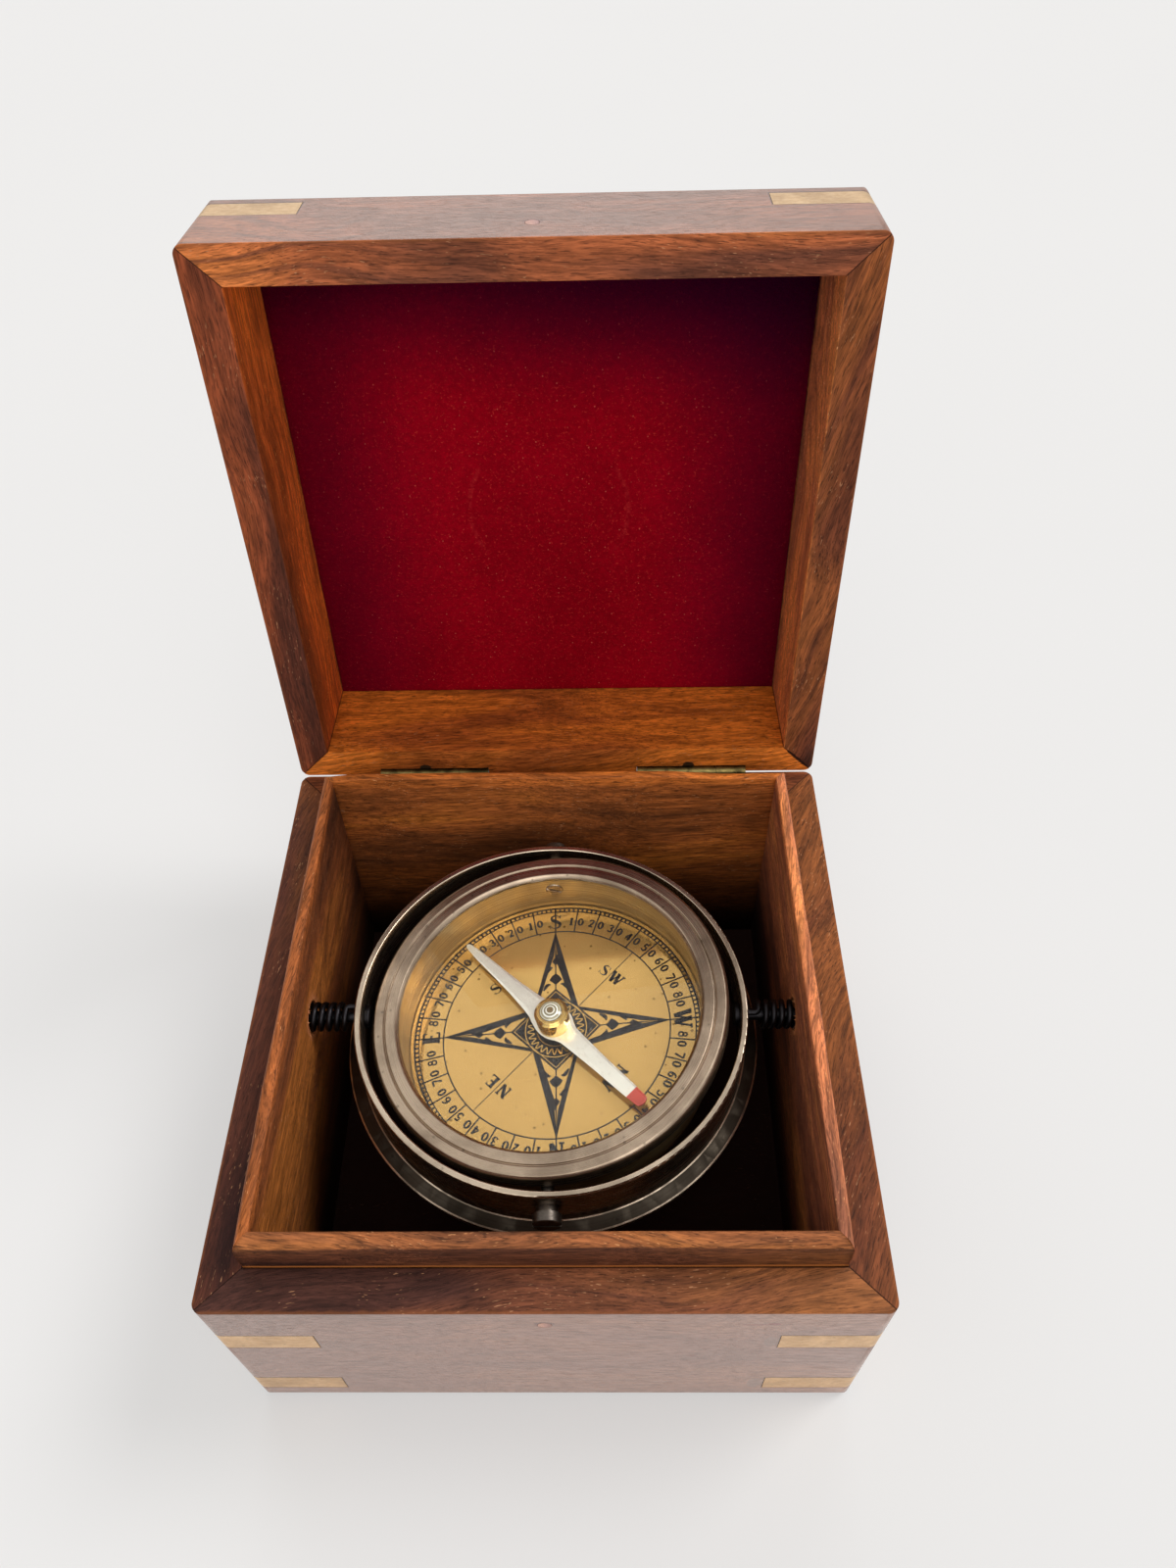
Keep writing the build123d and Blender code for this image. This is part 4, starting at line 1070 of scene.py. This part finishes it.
def letter(ink, name, height, radius, bearing, shift=0.0):
    """A cardinal letter."""
    width, strokes = STROKES[name]
    glyph(ink, strokes, width / 2, height, radius, bearing, shift)


def digit(ink, name, height, radius, bearing, shift):
    """A digit of a number, a little lighter in weight but evenly inked."""
    glyph(ink, DIGITS[name], DIGIT_MIDDLE, height, radius, bearing, shift, DIGIT_WEIGHT, DIGIT_INK)


print("the dial's right is", outwards(0.0))

# %% [markdown]
# ### The printed rose
# Two rings with a ladder of ticks run round the rim, one tick every two degrees. A line every ten degrees
# runs in to the inner ring, between the digits of its number. South stands at the back, as the photograph
# shows. The four-pointed star has dark borders and a small ornament of lozenges and leaves of this model's own.

# %% Rings, ticks and numbers
INK_LEVEL, LIGHT_ABOVE = (-7.5 + 0.03) * MM, 0.02 * MM
OUTER, INNER_TRACK, NUMBER_RING, STAR_TIP = 37.85, 36.75, 30.1, 30.2
LETTER_RADIUS, LETTER_HEIGHT, DIGIT_HEIGHT, DIGIT_APART = 33.4, 4.4, 2.4, 1.35
SMALL_RADIUS, SMALL_HEIGHT, SMALL_SHIFTS, SLANT_LINE_FROM = 21.2, 3.2, (-2.1, 2.0), 8.6
ink = Print(INK_LEVEL)
for radius, width in ((OUTER, 0.48), (INNER_TRACK, 0.32), (NUMBER_RING, 0.36)):
    ink.ring(radius, width)
for apart, inner, width in ((2, INNER_TRACK, 0.52), (10, NUMBER_RING, 0.40)):
    for bearing in range(0, 360, apart):
        out = outwards(radians(bearing))
        ink.ribbon([out * inner, out * OUTER], width)
for pole in (90, 270):
    for number in range(1, 9):
        for way in (-1, 1):
            bearing = radians(pole + way * 10 * number)
            digit(ink, str(number), DIGIT_HEIGHT, LETTER_RADIUS, bearing, -DIGIT_APART)
            digit(ink, "0", DIGIT_HEIGHT, LETTER_RADIUS, bearing, DIGIT_APART)
for name, bearing in (("S", 90), ("N", 270), ("E", 180), ("W", 0)):
    letter(ink, name, LETTER_HEIGHT, LETTER_RADIUS, radians(bearing))
for names, bearing in (("SE", 135), ("SW", 45), ("NE", 225), ("NW", 315)):
    for name, shift in zip(names, SMALL_SHIFTS):
        letter(ink, name, SMALL_HEIGHT, SMALL_RADIUS, radians(bearing), shift)
    out = outwards(radians(bearing))
    ink.ribbon([out * SLANT_LINE_FROM, out * NUMBER_RING], 0.22)
print("ribbons so far", len(ink.points))

# %% The star's points
SHOULDER, SQUARE, SQUARE_LINE = 6.1, 12.0, 11.1


def arm(ink, light, bearing):
    """One point of the star: dark borders, a bead and a bud on a stem, leaves at both sides and a pale slit."""
    out = outwards(bearing)
    side = np.array([out[1], -out[0]])

    def at(points):
        points = np.asarray(points, float)
        return points[:, :1] * side + points[:, 1:] * out

    for border in ([(SHOULDER, SHOULDER), (SHOULDER - 1.7, SHOULDER + 0.8), (0, STAR_TIP - 9.0), (0, STAR_TIP)],
                   [(-SHOULDER, SHOULDER), (0, STAR_TIP), (0, STAR_TIP - 6.0), (1.0 - SHOULDER, SHOULDER + 0.4)]):
        ink.shape(at(border)[::-1])
    ink.ribbon(at([(0, 11.5), (0, STAR_TIP - 1.0)]), 0.34)
    ink.ribbon(at([(0, STAR_TIP - 6.5), (0, STAR_TIP)]), [1.2, 0.3])
    for low, wide, tall in ((13.2, 1.75, 3.5), (19.2, 0.95, 2.6)):
        ink.shape(at([(0, low), (-wide, low + tall * 0.45), (-wide * 0.55, low + tall * 0.8), (0, low + tall),
                      (wide * 0.55, low + tall * 0.8), (wide, low + tall * 0.45)])[::-1])
    for way in (-1, 1):
        for root, reach, lift in ((11.6, 3.3, 1.7), (17.2, 2.1, 1.2)):
            bow = np.linspace(0, 1, 7)
            leaf = np.stack([way * reach * (1 - 0.6 * bow), root + lift * bow + 0.7 * np.sin(pi * bow)], 1)
            ink.ribbon(at(leaf), 0.25 + 0.8 * np.sin(pi * (0.15 + 0.8 * bow)) ** 2)
    light.ribbon(at([(-0.35, STAR_TIP - 7.6), (0, STAR_TIP - 3.4), (0.35, STAR_TIP - 7.6)]), 0.24)


light = Print(INK_LEVEL + LIGHT_ABOVE)
for bearing in (0, 90, 180, 270):
    arm(ink, light, radians(bearing))
print("ribbons and shapes", len(ink.points))

# %% The star's centre, and the ink
WAVE_RADIUS, WAVE_HEIGHT, WAVES, WAVE_STEPS = 6.6, 0.85, 26, 312
corners = np.array([(1, 0), (0, 1), (-1, 0), (0, -1)], float)
ink.shape(corners * SQUARE)
INK = new_material("print ink")
worn = speckle(place_in("bowl"), 900.0, 3.0)
finish(mix(span(worn, 0.55, 0.75), shade(28, 25, 24), shade(58, 49, 39)), 0.5)
ink.mesh("dial_print", INK)
wave_turn = whole_turn(WAVE_STEPS)
wave = WAVE_RADIUS + WAVE_HEIGHT * np.sin(wave_turn * WAVES)
light.ribbon(oval(wave, wave, wave_turn), 0.30, True)
for radius in (8.1, 5.0):
    light.ring(radius, 0.26, 96)
light.ribbon(corners * SQUARE_LINE, 0.28, True)
light.mesh("dial_print_light_lines", DIAL_BRASS)
print("print ribbons", len(ink.points), "and", len(light.points))

# %% [markdown]
# ## The needle
# The needle is a thin steel blade, widest near its hub, with a bevel along both edges and one end dipped in
# red. Its section is worked out at every station along it and carried from tip to tip, so the bevel narrows
# with the blade.

# %% Needle blade
NEEDLE_TURN = radians(-46)
NEEDLE_START, NEEDLE_END, NEEDLE_LEVEL, NEEDLE_THICK = -35.6, 32.9, -4.4, 0.5
NEEDLE_AT = [-35.6, -30, -21, -15, -8.5, -6, -4.5, -2, 0, 2, 3, 4, 5.5, 9, 15, 19, 27, 31.5, 32.9]
NEEDLE_REACH = [0.75, 1.3, 1.75, 2.15, 2.85, 3.3, 3.9, 4.65, 4.8, 4.5, 4.0, 3.4, 2.85, 2.6, 2.3, 2.15, 1.95,
                1.7, 1.45]
NEEDLE_SECTION = np.array([(-1, 0.30), (-0.94, 0.22), (-0.70, 0.0), (0.70, 0.0), (0.94, 0.22), (1, 0.30),
                           (0.92, 1.0), (-0.92, 1.0)])
TIP_ROUND = 0.8


def needle_width(along):
    """Half width at a place along the needle: a flare round the hub, straight tapers and round tips."""
    to_tip = np.minimum(along - NEEDLE_START, NEEDLE_END - along)
    tip = np.sqrt(np.clip(1 - (np.clip(TIP_ROUND - to_tip, 0, None) / TIP_ROUND) ** 2, 0.02, 1))
    return np.interp(along, NEEDLE_AT, NEEDLE_REACH) * tip


middle, half_long = (NEEDLE_START + NEEDLE_END) / 2, (NEEDLE_END - NEEDLE_START) / 2
stations = middle + half_long * np.sin(np.linspace(-pi / 2, pi / 2, 141))
across = needle_width(stations)[:, None] * NEEDLE_SECTION[None, :, 0]
height = NEEDLE_LEVEL - NEEDLE_THICK * NEEDLE_SECTION[None, :, 1] + 0 * across + NEEDLE_THICK
along = stations[:, None] + 0 * across
turn = outwards(NEEDLE_TURN)
points = on_bowl((along * turn[0] - across * turn[1]) * MM, (along * turn[1] + across * turn[0]) * MM, height * MM)
print("needle", round(2 * half_long, 1), "mm long")

# %% Needle steel
DIPPED_FROM = (0.0284, 0.0286)
NEEDLE_STEEL = new_material("needle steel")
laid_along = stretched(place_in("bowl"), (1, 1, 1), (0, 0, -NEEDLE_TURN))
brushed = speckle(laid_along, 900.0, 3.0)
dipped = span(axes(laid_along)[0], *DIPPED_FROM)
colour = mix(span(brushed, 0.5, 0.8, 0.0, 0.3), shade(232, 228, 214), shade(188, 180, 160))
finish(mix(dipped, colour, shade(168, 62, 48)), span(brushed, 0.3, 0.7, 0.30, 0.42), brushed, 0.08, 0.00005,
       Metallic=minus(0.8, dipped, True))
blade = new_piece("needle_blade", points, tube_faces(*points.shape[:2]), NEEDLE_STEEL, "needle", "needle_steel",
                  False)
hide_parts("needle")
print("needle blade", len(blade.data.polygons), "faces")

# %% [markdown]
# ## Velvet in the lid
# A square of dark red velvet is stretched over the lid's board. It is a real cloth sheet here: a fine grid that
# lies a little uneven and turns back at its edges, with short pile that scatters light at a slant. The pile's
# colour comes from a fine noise, and broad bands towards the walls are painted darker, as painted shade.

# %% Velvet sheet
VELVET_HALF, VELVET_FACE, VELVET_STEPS = 65.8, 27.5, 150
EDGE_LIFT, EDGE_ROLL, FLAT_WITHIN = 0.45, 0.7, 6
steps = np.linspace(-1, 1, VELVET_STEPS)
u, v = np.meshgrid(steps, steps)
edge = np.minimum(1 - np.abs(u), 1 - np.abs(v)) * VELVET_HALF
sag = 0.06 * np.sin(3.1 * u + 1) * np.cos(2.3 * v) + 0.04 * np.sin(7 * u + 5 * v)
lift = sag * np.clip(edge / FLAT_WITHIN, 0, 1) + EDGE_LIFT * np.exp(-edge / EDGE_ROLL)
points = on_lid(u * VELVET_HALF * MM, v * VELVET_HALF * MM, (VELVET_FACE + 0.12 + lift) * MM)
print("velvet", 2 * VELVET_HALF, "mm square,", points.shape[:2], "points")

# %% [markdown]
# ### The velvet's colour
# Over the pile lie a few things of their own: two faint arcs where something round has pressed it and flecks of
# lint. A plum painted shade lies towards the side walls and the front wall, where they shade the pile.

# %% Velvet material
IMPRINT_BACK, IMPRINT_RADIUS, IMPRINT_SIDES = 0.004, 0.0215, (0.0165, 0.0195)
VELVET = new_material("red velvet")
place = place_in("lid")
x, y, _ = axes(place)
pile = speckle(place, 1400.0, 3.0, 0.75)
tufts = speckle(place, 620.0, 2.0, 0.6)
colour = mix(span(strands(place, (22, 18, 18), 3.0, 0.5), 0.35, 0.65), shade(136, 3, 20), shade(156, 4, 25))
pressed = off(length(point(x, minus(y, IMPRINT_BACK))), IMPRINT_RADIUS)
pressed = times(fall(pressed, 0.0002, 0.0010, 0.06), span(size(x), *IMPRINT_SIDES))
flecks = dots(stretched(place, (520, 440, 440)), 1.0, (0.07, 0.13), (0.45, 0.60), 0.55)
for share, tone in ((fall(tufts, 0.35, 0.65, 0.22), (78, 1, 10)), (span(pile, 0.56, 0.70, 0.0, 0.45), (214, 62, 52)),
                    (times(pressed, span(tufts, 0.40, 0.55)), (220, 90, 80)), (flecks, (206, 92, 78))):
    colour = mix(share, colour, shade(*tone))
# Painted shade: the pile is painted darker and plum near the left, right and front walls.
to_right, to_left = minus(VELVET_HALF * MM, x), plus(VELVET_HALF * MM, x)
to_front = plus(plus(VELVET_HALF * MM, y), times(x, -0.12))
painted_wall_shade = times(span(to_right, 0.0, 0.046, 0.42, 1.0), span(to_front, 0.002, 0.046, 0.08, 1.0))
painted_wall_shade = times(painted_wall_shade, span(to_left, 0.0, 0.044, 0.52, 1.0))
finish(mix(painted_wall_shade, shade(38, 2, 32), colour), 0.9, pile, 0.9, 0.0004, Sheen_Weight=0.12, Sheen_Roughness=0.4,
       Sheen_Tint=shade(170, 4, 20), Specular_IOR_Level=0.0)
velvet = new_piece("velvet_sheet", points, grid_faces(VELVET_STEPS, VELVET_STEPS), VELVET, "lid", "velvet")
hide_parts("lid_velvet")
print("velvet laid on the lid's board")

# %% [markdown]
# ## Floor and light
# The box stands on plain white paper that runs out of sight. Its floor shows as pale paper to the camera and in
# reflections, and still keeps half of the box's shadow. The light is a broad soft one from the right and a
# little behind, a fill from the front and a weaker one from the back, all as parallel light, so that the paper
# is even all over.


# %% Floor and world
def seen_rays():
    """1 on rays that show a surface itself: from the camera, in a mirror or through glass."""
    path = node("LightPath").outputs
    return larger(path["Is Camera Ray"], larger(path["Is Glossy Ray"], path["Is Transmission Ray"]))


SHOWN, HALF_FLOOR, AMBIENT = 0.5, 3.0, 0.45
paper = new_material("white paper")
tint = mix(speckle(node("TexCoord").outputs["Object"], 3.0), shade(222, 221, 220), shade(218, 217, 216))
shader = node("BsdfPrincipled", {"Base Color": tint, "Roughness": 0.9, "Specular IOR Level": 0.1})
glow = node("Emission", {"Color": shade(233, 232, 231), "Strength": 1.0})
surface_of(times(seen_rays(), SHOWN), shader, glow)
square = np.array([(-1, -1, 0), (1, -1, 0), (1, 1, 0), (-1, 1, 0)]) * HALF_FLOOR
floor_piece = into_scene("paper_floor", mesh_of("paper_floor", square, [range(4)]))
floor_piece.data.materials.append(paper)

world = bpy.data.worlds.new("studio")
bpy.context.scene.world = world
world.use_nodes = True
Bench.tree = world.node_tree
Bench.tree.nodes.clear()
level = node("Math", {0: seen_rays(), 1: 1.0 - AMBIENT, 2: AMBIENT}, operation="MULTIPLY_ADD").outputs[0]
sky = node("Background", {"Color": shade(250, 249, 247), "Strength": level})
node("OutputWorld", {"Surface": sky.outputs[0]})
print("floor", 2 * HALF_FLOOR, "m across, world at", AMBIENT)

# %% Lamps
LAMPS = [("right", 1.5, 24, (0.55, 0.22, 0.80)), ("front", 1.25, 60, (0.08, -0.64, 0.76)),
         ("back", 0.8, 50, (-0.05, 0.83, 0.56))]
for name, strength, spread, comes_from in LAMPS:
    lamp = bpy.data.lights.new(name, "SUN")
    lamp.energy, lamp.angle = strength, radians(spread)
    into_scene(name, lamp).rotation_euler = Vector(comes_from).to_track_quat("Z", "Y").to_euler()
print("lamps", [lamp[0] for lamp in LAMPS])
